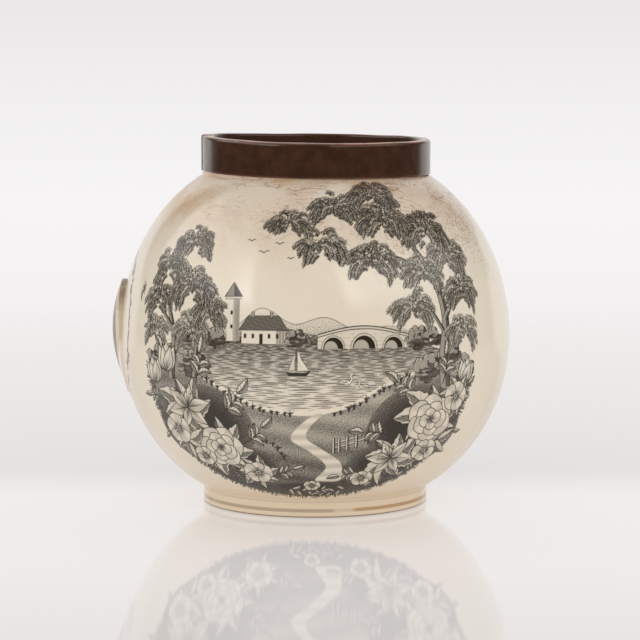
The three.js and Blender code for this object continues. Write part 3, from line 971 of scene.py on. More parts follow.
def tower(u, base, width, height):
    left, right, top = u - width / 2, u + width / 2, base + height
    lay(rectangle(left, base, right, top), 0.02)
    lay(rectangle(u, base, right, top), hatched(90, 0.55, 0.42, 0.8, 0.02))
    for v in np.arange(base + 1, top, 1.6):
        for k in range(3):
            start = chance.uniform(left, u)
            stroke([start + v * 1j, start + 1.1 + v * 1j], 0.16, 0.6)
    # cornice, pointed roof with one side in shade, and two windows
    eaves = top + 1.1
    outlined(rectangle(left - 0.8, top, right + 0.8, eaves), 0.05, 0.25)
    peak = u + (eaves + width * 0.95) * 1j
    roof = np.array([left - 1.4 + eaves * 1j, peak, right + 1.4 + eaves * 1j])
    lay(roof, hatched(62, 0.6, 0.5, 0.85, 0.15))
    lay(np.array([u + 0.3 + eaves * 1j, peak, right + 1.4 + eaves * 1j]), 0.86)
    stroke(np.append(roof, roof[:1]), 0.3, 0.95, taper=(1, 1))
    stroke([peak, peak + 2.2j], 0.25, 0.95)
    for v in (0.35, 0.68):
        window = u - width * 0.12 + (base + height * v) * 1j
        lay(window + np.array([-0.55 - 0.9j, -0.55 + 0.6j, 0.9j, 0.55 + 0.6j, 0.55 - 0.9j]), 0.92)

def cottage(u, base, width, wallHeight, roofHeight):
    left, right, eaves = u - width / 2, u + width / 2, base + wallHeight
    outlined(rectangle(left, base, right, eaves), 0.02, 0.25)
    lay(rectangle(right - width * 0.22, base, right, eaves), hatched(90, 0.5, 0.45, 0.8, 0.02))
    roof = np.array([left - 1.3 + (eaves - 0.4) * 1j, left + width * 0.16 + (eaves + roofHeight) * 1j,
                     right - width * 0.16 + (eaves + roofHeight) * 1j, right + 1.3 + (eaves - 0.4) * 1j])
    lay(roof, hatched(80, 0.62, 0.6, 0.88, 0.25))
    stroke(np.append(roof, roof[:1]), 0.3, 0.95, taper=(1, 1))
    for share in (0.27, 0.68):
        stack = left + width * share + (eaves + roofHeight) * 1j
        outlined(stack + np.array([-0.7 - 0.8j, -0.7 + 2j, 0.7 + 2j, 0.7 - 0.8j]), 0.35, 0.22)
    for k in range(5):
        place = left + width * (k + 0.5) / 5.6 + (base + wallHeight * 0.55) * 1j
        half = 0.62 if k != 2 else 0.8
        low = -0.95j if k != 2 else -wallHeight * 0.55j
        lay(place + np.array([-half + low, -half + 0.95j, half + 0.95j, half + low]), 0.9)
        if k != 2:
            stroke([place - 0.95j, place + 0.95j], 0.14, 0.05, over=True)
            stroke([place - half, place + half], 0.14, 0.05, over=True)


def bridge(start, end, base, rise, arches=3):
    # stone bridge with a humped parapet and round arches
    span = end - start
    u = np.linspace(start, end, 25)
    deck = base + rise * (0.62 + 0.38 * np.sin(math.pi * (u - start) / span))
    shape = np.concatenate([u + deck * 1j, [end + base * 1j, start + base * 1j]])
    lay(shape, 0.06)
    for v in np.arange(base + 0.6, base + rise, 0.85):
        for brick in np.arange(start + 0.8 * ((v * 7) % 1.9), end, 1.9):
            top = base + rise * (0.62 + 0.38 * math.sin(math.pi * (brick - start) / span))
            if v < top - 1.2 and chance.random() < 0.7:
                stroke([brick + v * 1j, brick + 1.3 + v * 1j], 0.15, 0.65)
    for k in range(arches):
        middle = start + span * (k + 0.5) / arches
        size = span / arches * (0.36 if k == arches // 2 else 0.31)
        spring = middle + base * 1j
        lay(halfRound(spring, size), 0.9)
        lay(halfRound(spring - size * 0.25, size * 0.72), 0.25)
        stroke(halfRound(spring, size), 0.45, 0.95, taper=(1, 1))
        stroke(halfRound(spring, size * 1.22), 0.2, 0.85, taper=(1, 1))
    stroke(u + deck * 1j, 0.4, 0.95, taper=(1, 1))
    stroke(u + (deck - 1.2) * 1j, 0.3, 0.9, taper=(1, 1))


def water(shape):
    window, mask = dotsInside(shape)
    before = plate[window].copy()
    low, high = shape.imag.min(), shape.imag.max()
    left, right = shape.real.min(), shape.real.max()
    lay(shape, lambda p: 0.34 - 0.30 * np.clip((high - p.imag) / (high - low) * 1.5, 0, 1))
    v = high
    while v > low:
        near = (high - v) / (high - low)
        u = left + chance.uniform(0, 6)
        while u < right:
            length = chance.uniform(5, 15) * (0.6 + near)
            sag = chance.normal(0, 0.15)
            dark = 0.92 - 0.25 * near + chance.uniform(-0.1, 0.05)
            ripple = bent(u + v * 1j, u + length / 2 + (v + sag) * 1j, u + length + v * 1j, 5)
            stroke(ripple, 0.30 + 0.10 * near, dark, taper=(0.1, 0.1))
            u += length + chance.uniform(0.3, 5) * (0.25 + 0.9 * near)
        v -= 0.58 + 0.42 * near
    part = plate[window]
    part[~mask] = before[~mask]


def boat(place, size):
    hull = place + size * np.array([-1 + 0.12j, -0.7 - 0.18j, 0.7 - 0.18j, 1.1 + 0.2j, 0.4 + 0.08j])
    lay(hull, 0.9)
    stroke([place - 0.1 * size, place + (-0.1 + 1.9j) * size], 0.3, 0.95, taper=(1, 1))
    outlined(place + size * np.array([0.0 + 0.2j, 0.0 + 1.8j, 0.35 + 1.1j, 0.95 + 0.25j]), 0.02, 0.24)
    outlined(place + size * np.array([-0.2 + 0.25j, -0.2 + 1.6j, -0.75 + 0.3j]), 0.12, 0.24)
    for k in range(4):
        foot = place + size * (0.08 + 0.18 * k + 0.2j)
        stroke([foot, place + size * (0.02 + 0.05 * k + (1.3 - 0.2 * k) * 1j)], 0.14, 0.6)
    for k in range(5):
        level = place - (0.35 + 0.16 * k) * 1j * size
        stroke([level - (1.1 - 0.1 * k) * size, level + (1.0 - 0.15 * k) * size], 0.28, 0.75, taper=(0.1, 0.1))

def faced(points, side):
    # the same points, the other way round when side is -1
    return np.array([complex(p.real * side, p.imag) for p in points])

def swan(place, size, side=1):
    back = [-1 + 0.35j, -0.6 + 0.1j, 0j, 0.55 + 0.05j, 0.75 + 0.35j, 0.2 + 0.6j, -0.5 + 0.62j]
    outlined(throughPoints(place + size * faced(back, side), 4, closed=True), 0.02, 0.24)
    throat = [0.6 + 0.35j, 0.85 + 0.75j, 0.62 + 1.05j, 0.72 + 1.35j, 0.98 + 1.25j]
    neck = throughPoints(place + size * faced(throat, side), 6)
    neckWidth = 0.279 * size
    stroke(neck, neckWidth + 0.3, 0.95, taper=(1, 1))
    stroke(neck, neckWidth - 0.1, 0.02, over=True, taper=(1, 1))
    stroke([neck[-1], neck[-1] + size * (0.25 * side - 0.08j)], 0.35, 0.95, taper=(1, 0.2))
    for k in range(3):
        feather = [-0.7 + (0.2 + 0.1 * k) * 1j, -0.1 + (0.15 + 0.1 * k) * 1j, 0.3 + (0.3 + 0.06 * k) * 1j]
        stroke(bent(*(place + size * faced(feather, side))), 0.16, 0.7)
    for k in range(3):
        ripple = place - (0.12 + 0.16 * k) * 1j * size
        stroke([ripple - 1.1 * size, ripple + 1.1 * size], 0.22, 0.7, taper=(0.1, 0.1))

def fence(points, height):
    line = throughPoints(points, 6)
    posts = line[:: max(1, len(line) // 7)]
    for rise in (0.75, 0.42):
        rail = posts + 1j * height * rise
        stroke(rail, 1.15, 0.95, taper=(1, 1))
        stroke(rail + 0.12j, 0.7, 0.06, over=True, taper=(1, 1))
    for k, post in enumerate(posts):
        tall = height * (1.12 if k % 3 == 0 else 0.98)
        shape = post + np.array([-0.75, -0.7 + tall * 1j, (tall + 0.5) * 1j, 0.7 + tall * 1j, 0.75])
        outlined(shape, 0.05, 0.28)
        lay(post + np.array([0.1, 0.1 + tall * 1j, 0.7 + tall * 1j, 0.75]), 0.8)


# leaves, grass and the feathered border of the foreground

def toothedLeaf(root, tip, fatness=0.46, droop=0.1, pale=0.05, dark=0.85, teeth=5):
    # rose leaf with a saw edge, one half shaded
    spine, left, right = leafShape(root, tip, fatness, droop, 4 * teeth + 1)
    saw = 1 + 0.30 * (np.arange(len(spine)) / 4 % 1.0 - 0.4)
    left, right = spine + (left - spine) * saw, spine + (right - spine) * saw
    lay(np.concatenate([left, right[::-1]]), pale)
    shaded = right if (tip - root).real > 0 else left
    shading = hatched(math.degrees(np.angle(tip - root)) + 55, 0.5, 0.6, dark, 0.1)
    lay(np.concatenate([spine, (spine * 0.25 + shaded * 0.75)[::-1]]), shading)
    for k in range(1, teeth):
        for side in (left, right):
            i, j = 4 * k - 2, min(4 * k + 2, len(spine) - 1)
            stroke([spine[i], side[j] * 0.85 + spine[j] * 0.15], 0.22, dark, taper=(1, 0.2))
    stroke(spine, 0.3, 0.95, taper=(1, 0.3))
    stroke(np.concatenate([left, right[::-1], left[:1]]), 0.32, 0.97, taper=(1, 1))


def roseLeaves(root, heading, size, pairs=2, pale=0.05):
    # a stem with pairs of leaves and one at its end
    bend, end = root + size * 0.9 * np.exp(1j * heading), root + size * 1.8 * np.exp(1j * (heading + 0.25))
    stem = bent(root, bend, end, 9)
    stroke(stem, 0.5, 0.95, taper=(1, 0.4))
    for k in range(pairs):
        place = stem[3 + int(k * 5 / pairs)]
        for side in (1, -1):
            turn = heading + side * 1.05 + 0.1
            tip = place + size * (0.95 - 0.12 * k) * np.exp(1j * turn)
            toothedLeaf(place, tip, pale=pale, droop=0.12 * side)
    toothedLeaf(stem[-1], stem[-1] + size * 1.05 * np.exp(1j * (heading + 0.3)), pale=pale)


def leafRing(middle, size, start=0.0, count=7, fatness=0.42, pale=0.08):
    # leaves all round behind a flower
    for k in range(count):
        heading = start + 2 * math.pi * k / count + chance.uniform(-0.15, 0.15)
        reach = size * chance.uniform(0.85, 1.15)
        if k % 3 == 2:
            bigLeaf(middle, middle + reach * np.exp(1j * heading), fatness, pale=pale)
        else:
            toothedLeaf(middle, middle + reach * np.exp(1j * heading), fatness + 0.06, pale=pale)


border = dict(reach=95.0, depth=72.0, middle=-8.0)

def edgeOfPrint(angle, grow=0.0):
    # lower border of the picture as a broad rounded line, angle 0 at the right and -pi at the left
    side = np.cos(angle)
    u = (border["reach"] + grow) * np.sign(side) * np.abs(side) ** 0.92
    return u + 1j * (border["middle"] + (border["depth"] + grow) * np.sin(angle))

def fringe(start, end, reach=3.0, clump=7.0):
    # short cuts pointing outwards, gathered into scallops
    angles = np.linspace(start, end, 900)
    line = edgeOfPrint(angles)
    walked = np.concatenate([[0], np.cumsum(np.abs(np.diff(line)))])
    for spot in np.arange(0, walked[-1], 0.42):
        angle = np.interp(spot, walked, angles)
        root = edgeOfPrint(angle, -4.0)
        outward = edgeOfPrint(angle, 1.0) - edgeOfPrint(angle, 0.0)
        outward /= abs(outward)
        bulge = abs(math.sin(math.pi * spot / clump + 0.8 * math.sin(spot * 0.11))) ** 0.6
        tall = 4.0 + reach * bulge * chance.uniform(0.85, 1.05)
        tip = root + outward * tall * np.exp(1j * chance.normal(0, 0.10))
        stroke([root, root * 0.5 + tip * 0.5, tip], 0.60, 0.85 - 0.4 * chance.random(), taper=(1, 0.4))


def tufts(line, height, gap=2.6, tone=0.9):
    # grass in tufts along a line
    line = throughPoints(line, 8)
    walked = np.concatenate([[0], np.cumsum(np.abs(np.diff(line)))])
    for spot in np.arange(0, walked[-1], gap):
        spot = min(walked[-1], spot + chance.uniform(0, gap * 0.6))
        root = np.interp(spot, walked, line.real) + 1j * np.interp(spot, walked, line.imag)
        grass(root, height * chance.uniform(0.6, 1.2), 5, 0.75, tone)


def birds(places):
    for place, size in places:
        for side in (1, -1):
            wing = bent(place, place + size * (0.45 * side + 0.55j), place + size * (side + 0.25j), 6)
            stroke(wing, 0.34, 0.9, taper=(1, 0.2))


# the composition, from the far hills to the near flowers

def drawLandscape():
    farLand()
    river = throughPoints([-74 + 4j, -20 + 5j, 30 + 4.5j, 66 + 3j, 76 - 4j, 50 - 10j, 34 - 16j, 22 - 22j,
                           -2 - 25j, -24 - 23j, -38 - 17j, -60 - 10j, -78 - 4j], 8, closed=True)
    water(river)
    tower(-37, 6, 7, 19)
    cottage(-21, 5, 23, 6.5, 6)
    bridge(6, 52, 3.2, 10)
    for u, wide, tall in ((-47, 12, 9), (-5, 9, 8), (58, 13, 10), (67, 10, 8), (-56, 11, 8)):
        bush(u + 7j, wide, tall, 0.72, 0.12, 1.3)
    boat(-4 - 8j, 6)
    swan(20 - 13j, 3.6)
    swan(29 - 15j, 3.0, -1)
    birds([(-22 + 46j, 3.2), (-14 + 50j, 2.6), (-29 + 52j, 2.4), (-8 + 43j, 2.0)])
    nearGround()
    # right oak, its low boughs first
    for u, v, wide, tall in ((66, -8, 20, 13), (88, -10, 16, 13), (78, -2, 14, 10)):
        bush(u + v * 1j, wide, tall, 0.75, 0.1, 1.8)
    trunk([77 - 24j, 74 - 2j, 75 + 18j, 66 + 40j, 46 + 62j], 7, 1.4)
    trunk([75 + 16j, 84 + 34j, 84 + 52j], 3, 0.8)
    trunk([69 + 34j, 50 + 44j, 26 + 48j], 2.4, 0.7)
    trunk([74 + 10j, 64 + 22j, 52 + 26j], 1.8, 0.6)
    for place, width, height, shade, mid in [
            (88 + 12j, 24, 20, 0.81, 0.29), (56 + 22j, 28, 18, 0.81, 0.29), (88 + 32j, 26, 22, 0.89, 0.33),
            (80 + 50j, 32, 24, 0.89, 0.33), (62 + 40j, 26, 18, 0.89, 0.33), (34 + 44j, 34, 18, 0.94, 0.37),
            (8 + 50j, 30, 16, 0.94, 0.37), (-10 + 62j, 24, 14, 0.94, 0.37), (66 + 62j, 40, 24, 0.97, 0.40),
            (40 + 66j, 38, 22, 0.97, 0.40), (14 + 70j, 34, 18, 0.97, 0.40), (36 + 80j, 36, 16, 0.97, 0.40)]:
        foliagePad(place, width, height, 1.7, shade, mid)
    # left trees
    for u, v, wide, tall in ((-62, -6, 22, 12), (-86, -4, 18, 12)):
        bush(u + v * 1j, wide, tall, 0.75, 0.1, 1.8)
    trunk([-76 - 14j, -73 + 6j, -77 + 24j, -71 + 44j], 4.4, 1)
    trunk([-60 - 12j, -57 + 10j, -52 + 26j], 3, 0.8)
    trunk([-75 + 12j, -88 + 26j], 2, 0.6)
    for place, width, height, shade, mid in [
            (-88 + 12j, 22, 16, 0.81, 0.29), (-62 + 12j, 24, 16, 0.79, 0.28), (-50 + 21j, 22, 15, 0.89, 0.33),
            (-86 + 28j, 26, 18, 0.92, 0.35), (-62 + 32j, 30, 20, 0.94, 0.37), (-80 + 44j, 28, 18, 0.96, 0.39),
            (-64 + 54j, 32, 18, 0.97, 0.40)]:
        foliagePad(place, width, height, 1.7, shade, mid)
    flowerBanks()


def nearGround():
    # dark ground from the shore down to the feathered border
    angles = np.linspace(0, -math.pi, 90)
    shore = [-92 - 7j, -76 - 6j, -58 - 11j, -40 - 19j, -24 - 25j, 0 - 27.5j, 22 - 24j, 36 - 17j, 52 - 11j,
             76 - 6j, 92 - 7j]
    outline = np.concatenate([throughPoints(shore, 8), edgeOfPrint(angles)])

    def tone(p):
        out = np.hypot(p.real / 93.0, (p.imag + 8) / 72.0)
        folds = 0.10 * np.sin(p.imag * 0.55 + 0.05 * p.real + 1.6 * np.sin(p.real * 0.045))
        return 0.50 + folds + 0.42 * np.clip(out - 0.45, 0, 1) - 0.004 * (p.imag + 40)
    lay(outline, washed(tone))
    # a pale footpath from the lower middle to the shore
    path = throughPoints([4 - 66j, 10 - 56j, 2 - 47j, -8 - 40j, -4 - 33j, 4 - 27j, 8 - 27j, 2 - 33j, 0 - 39j,
                          9 - 46j, 18 - 54j, 18 - 66j], 8, closed=True)
    lay(path, washed(lambda p: 0.10 + 0.10 * np.sin(p.imag * 1.1)))
    fringe(-0.02, -math.pi + 0.02)
    tufts([-56 - 12j, -40 - 20j, -24 - 26j, -8 - 28j], 3.4, 3.4)
    tufts([14 - 28j, 24 - 25j, 38 - 18j, 52 - 12j], 3.4, 3.4)
    tufts([-30 - 40j, -18 - 44j, -12 - 52j], 4, 3)
    tufts([24 - 60j, 20 - 70j], 4, 3)
    fence([14 - 48j, 26 - 45j, 44 - 38j, 58 - 28j], 8)


def flowerBanks():
    # shade under the flowers
    around = np.linspace(0, 2 * math.pi, 60)
    for middle, wide, tall in [(-58 - 38j, 62, 46), (-36 - 58j, 44, 26), (60 - 38j, 58, 46),
                               (42 - 58j, 44, 28), (2 - 72j, 60, 11)]:
        def tone(p):
            out = np.hypot((p.real - middle.real) / wide * 2, (p.imag - middle.imag) / tall * 2)
            return 1.15 - 0.5 * out ** 2
        shape = middle + 0.5 * (wide * np.cos(around) + 1j * tall * np.sin(around))
        lay(shape, washed(tone, 0.6), over=False)
    # left bank
    for root, heading, size in [(-74 - 14j, 1.9, 9), (-60 - 16j, 1.1, 9), (-46 - 30j, 0.6, 9),
                                (-84 - 26j, 2.9, 6), (-34 - 44j, 0.5, 8), (-76 - 40j, 3.6, 6),
                                (-60 - 56j, 5.5, 6), (-46 - 62j, 5.8, 6), (-20 - 62j, 0.1, 7)]:
        roseLeaves(root, heading, size)
    tulip(-88 - 18j, 14, 0.25)
    tulip(-79 - 11j, 15, 0.0)
    leafRing(-68 - 30j, 20, 0.4, 8)
    leafRing(-48 - 48j, 19, 0.1, 8)
    leafRing(-70 - 48j, 14, 0.8, 6)
    leafRing(-28 - 62j, 14, 0.5, 7)
    lily(-66 - 28j, 16, 0.35)
    doubleRose(-48 - 48j, 14, 0.2)
    wildRose(-76 - 42j, 10, 0.5)
    wildRose(-60 - 56j, 8, 0.1, 0.85)
    wildRose(-28 - 62j, 9.5, 0.3, 0.85)
    # right bank
    for root, heading, size in [(74 - 16j, 1.2, 8), (58 - 22j, 2.2, 8), (84 - 24j, 0.3, 6),
                                (44 - 40j, 2.7, 8), (76 - 42j, -0.5, 6), (62 - 56j, 3.9, 6),
                                (46 - 64j, 3.5, 6), (30 - 62j, 3.0, 7)]:
        roseLeaves(root, heading, size)
    tulip(89 - 17j, 13, -0.25)
    leafRing(68 - 34j, 21, 0.2, 9)
    leafRing(46 - 54j, 18, 0.6, 8)
    leafRing(74 - 48j, 12, 0.3, 6)
    leafRing(84 - 24j, 12, 0.9, 6)
    doubleRose(68 - 34j, 15.5, 0.5)
    lily(46 - 54j, 15, 0.9)
    wildRose(84 - 24j, 9)
    wildRose(67 - 53j, 9, 0.6, 0.85)
    wildRose(30 - 66j, 7.5, 0.2, 0.8)
    # low sprays in the middle
    twig([-14 - 72j, -4 - 75j, 8 - 74j], 7, 8, 0.04, 0.5)
    twig([24 - 73j, 14 - 76j, 6 - 77j], 6, 7, 0.04, 0.5)
    wildRose(2 - 70j, 5.5, 0.2, 0.8)
    fern([-44 - 60j, -38 - 72j], 6)


drawLandscape()


# the sheet of transfer paper laid on the globe

transfer = dict(
    centreHeight=82 * mm, upward=1.0, leftward=2.5, narrowed=0.947, drawnOut=1.06, blockCells=10,
    sides={"front": -90.0, "back": 90.0}, splitAt=-12.0,
)


def onGlobe(heading, sheetU, sheetV):
    # lays sheet distances from the print's middle along the glaze, true in every direction from that middle
    upward = math.radians(transfer["upward"])
    turn = math.radians(heading - transfer["leftward"])
    outward = np.array([math.cos(turn) * math.cos(upward), math.sin(turn) * math.cos(upward),
                        math.sin(upward)])
    right = np.array([-math.sin(turn), math.cos(turn), 0.0])
    up = np.cross(outward, right)
    sheetU, sheetV = sheetU * transfer["narrowed"], sheetV * transfer["drawnOut"]
    away = np.hypot(sheetU, sheetV)
    angle = away / bellyRadius
    flat = np.where(away > 0, np.sin(angle) / np.maximum(away, 1e-9), 0)
    rays = np.cos(angle)[:, None] * outward + (flat * sheetU)[:, None] * right + (flat * sheetV)[:, None] * up
    reach = np.full(len(rays), bellyRadius)
    across = np.hypot(rays[:, 0], rays[:, 1])
    for _ in range(12):
        reach = reach - gapToGlaze(reach * across, transfer["centreHeight"] + reach * rays[:, 2])
    places = rays * (reach + inkSkin)[:, None]
    return places + np.array([axisX, 0, transfer["centreHeight"]])


def gapToGlaze(radius, height):
    upper, lower = offGlaze(upperOval, radius, height), offGlaze(lowerOval, radius, height)
    return np.where(height > jarShape["waist"], upper, lower)


def plateCells():
    step = vignette["dotsPerCell"]
    rows, columns = sheetRows // step, sheetColumns // step
    tones = plate[:rows * step, :columns * step].reshape(rows, step, columns, step).mean(axis=(1, 3))
    u = ((np.arange(columns) + 0.5) * step / dots - vignette["halfWidth"]) * mm
    v = (vignette["halfHeight"] - (np.arange(rows) + 0.5) * step / dots) * mm
    # whole blocks of cells are kept where there is ink in them or beside them
    size = transfer["blockCells"]
    blocks = np.zeros((rows // size + 3, columns // size + 3), bool)
    inkRows, inkColumns = np.nonzero(tones > 0.01)
    for down in (-1, 0, 1):
        for over in (-1, 0, 1):
            blocks[inkRows // size + 1 + down, inkColumns // size + 1 + over] = True
    keep = np.repeat(np.repeat(blocks[1:, 1:], size, 0), size, 1)[:rows, :columns]
    return tones, u, v, keep


def sheetTile(name, heading, u, v, tones, keep):
    rows, columns = tones.shape
    wanted = keep[:-1, :-1] & keep[1:, 1:] & keep[:-1, 1:] & keep[1:, :-1]
    if not wanted.any():
        return None
    index = np.arange(rows * columns).reshape(rows, columns)
    corners = (index[1:, :-1], index[1:, 1:], index[:-1, 1:], index[:-1, :-1])
    corners = np.stack([corner[wanted] for corner in corners], axis=1)
    used, faces = np.unique(corners, return_inverse=True)
    faces = faces.reshape(corners.shape)
    sheetU, sheetV = np.meshgrid(u, v)
    sheetU, sheetV = sheetU.ravel()[used], sheetV.ravel()[used]
    mesh = bpy.data.meshes.new(name)
    mesh.vertices.add(len(used))
    mesh.vertices.foreach_set("co", onGlobe(heading, sheetU, sheetV).ravel())
    mesh.loops.add(faces.size)
    mesh.loops.foreach_set("vertex_index", faces.ravel())
    mesh.polygons.add(len(faces))
    mesh.polygons.foreach_set("loop_start", np.arange(0, faces.size, 4))
    mesh.polygons.foreach_set("use_smooth", np.ones(len(faces), bool))
    mesh.update(calc_edges=True)
    ink = mesh.attributes.new("ink", "FLOAT", "POINT")
    ink.data.foreach_set("value", tones.ravel()[used].astype(np.float32))
    flatMap = np.stack([(sheetU - u.min()) / np.ptp(u), (sheetV - v.min()) / np.ptp(v)], axis=1)
    mesh.uv_layers.new(name="OFBake").data.foreach_set("uv", flatMap[faces.ravel()].ravel())
    mesh.materials.append(creamGlaze)
    piece = bpy.data.objects.new(name, mesh)
    scene.collection.objects.link(piece)
    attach(piece, "root")
    return piece


def layPrints():
    tones, u, v, keep = plateCells()
    middle, split = len(u) // 2, int(np.argmin(np.abs(v / mm - transfer["splitAt"])))
    bands = {"upper": slice(0, split + 1), "lower": slice(split, len(v))}
    halves = {"left": slice(0, middle + 1), "right": slice(middle, len(u))}
    count = 0
    for side, heading in transfer["sides"].items():
        for band, rows in bands.items():
            for half, columns in halves.items():
                name = "_".join(["print", side, band, half])
                part = (rows, columns)
                piece = sheetTile(name, heading, u[columns], v[rows], tones[part], keep[part])
                count += len(piece.data.polygons) if piece else 0
    print("stage 4: landscape printed on both sides, %d cells" % count)


layPrints()


# collar of sheet copper, beaten over the lip by hand

collar = dict(
    sheet=0.5 * mm, outerRound=1.9 * mm, squareRound=0.8 * mm, innerRound=1.4 * mm, innerSkirt=9 * mm,
    mouthRadius=52 * mm, clear=0.2 * mm, squareReach=0.5,
    lap=12.0, lapRamp=8.0, lapCentre=180.0, lapStep=0.28 * mm, lapRise=1.9 * mm, lapRisePower=4,
    top=180.7 * mm, bottom=collarLow[2],
    dent=0.22 * mm, topWave=0.34 * mm, raised=0.28 * mm, tilt=0.40 * mm, highSide=95.0, seed=11,
    # worn is the rubbed copper of the edges, also a painted highlight on the crest
    dark=photoColour(54, 28, 8), brown=photoColour(66, 35, 11), worn=photoColour(190, 128, 104),
    # inside is painted shade on the inner skirt
    chestnut=photoColour(86, 44, 20), inside=photoColour(70, 40, 26), offCentre=0.6 * mm,
)


def smoothWave(seed, count, low, high):
    # a repeatable round-the-neck wave made of a few sines
    rng = np.random.default_rng(seed)
    waves = [(k, rng.uniform(0.4, 1.0) / math.sqrt(k), rng.uniform(0, 2 * math.pi))
             for k in range(low, high)][:count]
    total = sum(a for _, a, _ in waves)

    def wave(angle):
        return sum(a * math.sin(k * angle + p) for k, a, p in waves) / total
    return wave


def collarSection(angle, grow, lift):
    # folded sheet at one angle: radius, height and a value for worn edges with their painted highlight, below
    # zero for the painted shade inside, from the outer skirt over the fold and inside it
    c = collar
    outside, inside = collarRadius - c["clear"] + grow, c["mouthRadius"] - grow
    top = c["top"] + grow + lift
    fromLap = abs(math.remainder(angle - math.radians(c["lapCentre"]), 2 * math.pi))
    squared = max(0.0, 1 - fromLap / c["squareReach"])
    outerRound = c["outerRound"] + (c["squareRound"] - c["outerRound"]) * squared
    outerRound = min(outerRound, (outside - inside) * 0.45)
    outerCentre = (outside - outerRound - grow, top - outerRound - grow)
    innerCentre = (inside + c["innerRound"] + grow, top - c["innerRound"] - grow)
    section = [(outside, c["bottom"], 0.15)]
    for share in (0.03, 0.06, 0.2, 0.4, 0.6, 0.8):
        height = c["bottom"] + share * (outerCentre[1] - c["bottom"])
        section.append((outside, height, 0.25 if share < 0.05 else 0.0))
    outerFold = arcPoints(outerCentre, outerRound + grow, 0, math.pi / 2, 10)
    innerFold = arcPoints(innerCentre, c["innerRound"] + grow, math.pi / 2, math.pi, 8)
    # the crest of the outer fold: worn copper and a painted highlight
    section += [(*p, min(1.0, max(0.0, (i - 3) / 4))) for i, p in enumerate(outerFold)]
    section += [(*p, 1.0 - 0.3 * i) for i, p in enumerate(innerFold)]
    # the inner skirt: painted shade
    section += [(inside, top - share * c["innerSkirt"], -1.0) for share in (0.25, 0.5, 1.0)]
    section += [(inside + c["sheet"], top - c["innerSkirt"], 0.0)]
    innerBack = arcPoints(innerCentre, c["innerRound"] + grow - c["sheet"], math.pi, math.pi / 2, 4)
    outerBack = arcPoints(outerCentre, outerRound + grow - c["sheet"], math.pi / 2, 0, 4)
    section += [(*p, 0.0) for p in innerBack + outerBack]
    return section + [(outside - c["sheet"], c["bottom"], 0.1)]

def stripFaces(stopCount, loop):
    # faces along a closed section, and one at each end
    faces = []
    for i in range(stopCount - 1):
        for j in range(loop):
            a, b = i * loop + j, i * loop + (j + 1) % loop
            faces.append((a, a + loop, b + loop, b))
    last = (stopCount - 1) * loop
    return faces + [tuple(range(loop)), tuple(last + j for j in reversed(range(loop)))]

def collarMesh():
    c = collar
    bulge, crown = smoothWave(c["seed"], 14, 2, 22), smoothWave(c["seed"] + 1, 12, 2, 30)
    stops = list(np.arange(0, 360 - c["lapRamp"], 1.0))
    stops += list(np.linspace(360 - c["lapRamp"], 360, 9)) + list(np.linspace(361, 360 + c["lap"], 12))
    places, wearHighlightAndShade = [], []
    for along in stops:
        angle = math.radians(c["lapCentre"] - c["lap"] / 2 + along)
        grow = min(1.0, max(0.0, (along - 360 + c["lapRamp"]) / c["lapRamp"])) * c["lapStep"]
        shove = c["dent"] * bulge(angle)
        tilt = c["tilt"] * math.cos(angle - math.radians(c["highSide"]))
        lift = c["raised"] + tilt + c["topWave"] * crown(angle)
        rise = c["lapRise"] * ((1 + math.cos(angle - math.radians(c["lapCentre"]))) / 2) ** c["lapRisePower"]
        section = collarSection(angle, grow, lift)
        for radius, height, edge in section:
            reach = radius + shove * max(0.0, (height - c["bottom"]) / (c["top"] - c["bottom"]))
            across, depth = reach * math.cos(angle), reach * math.sin(angle)
            places.append((axisX + c["offCentre"] + across, depth, height + rise))
            wearHighlightAndShade.append(edge)
    return places, stripFaces(len(stops), len(section)), wearHighlightAndShade

def copperMaterial():
    material, tree = newMaterial("brownCopper")
    place = addNode(tree, "TexCoord").outputs["Object"]
    mottle = noise(tree, place, 190.0, 5.0, 0.62)
    streak = noise(tree, stretched(tree, place, 1, 1, 5), 60.0, 4.0)
    colour = mixColour(tree, ramp(tree, mottle, 0.42, 0.68), collar["dark"], collar["brown"])
    colour = mixColour(tree, ramp(tree, streak, 0.5, 0.8, 0.0, 0.35), colour, collar["dark"])
    blotch = ramp(tree, noise(tree, place, 130.0, 4.0, 0.6), 0.56, 0.72, 0.0, 0.32)
    colour = mixColour(tree, blotch, colour, collar["chestnut"])
    # worn edges in bright copper, which is also a painted highlight along the crest
    edge = addNode(tree, "Attribute", attribute_name="edge").outputs["Fac"]
    rubbed = ramp(tree, noise(tree, place, 60.0, 4.0, 0.6), 0.30, 0.62, 0.15, 0.9)
    wearAndHighlight = times(tree, edge, rubbed, clamp=True)
    # worn copper and painted highlight on the crest
    colour = mixColour(tree, wearAndHighlight, colour, collar["worn"])
    # painted shade: the inner skirt goes a plain dull brown
    colour = mixColour(tree, ramp(tree, edge, -0.9, -0.1, 0.85, 0.0), colour, collar["inside"])
    pits = addNode(tree, "TexVoronoi", {"Vector": place, "Scale": 150.0}).outputs["Distance"]
    pit = ramp(tree, pits, 0.05, 0.12, 1.0, 0.0)
    scratched = noise(tree, stretched(tree, place, 1, 1, 14), 220.0, 3.0)
    rough = maths(tree, "ADD", ramp(tree, mottle, 0.3, 0.75, 0.24, 0.42), times(tree, scratched, 0.06))
    beaten = bump(tree, noise(tree, place, 70.0, 2.0), 0.0003, 0.35)
    fine = bump(tree, scratched, 0.00004, 0.3, beaten)
    pitted = bump(tree, times(tree, pit, -1.0), 0.00015, 0.5, fine)
    colour = mixColour(tree, times(tree, pit, 0.6), colour, tuple(c * 0.4 for c in collar["dark"]))
    metal = maths(tree, "ADD", times(tree, wearAndHighlight, 0.6), 0.12)
    finishMaterial(tree, Base_Color=colour, Metallic=metal, Roughness=rough, Normal=pitted, IOR=1.42,
                   Specular_Tint=(1.0, 0.84, 0.70, 1.0), Coat_Weight=0.75, Coat_Roughness=0.16)
    return material


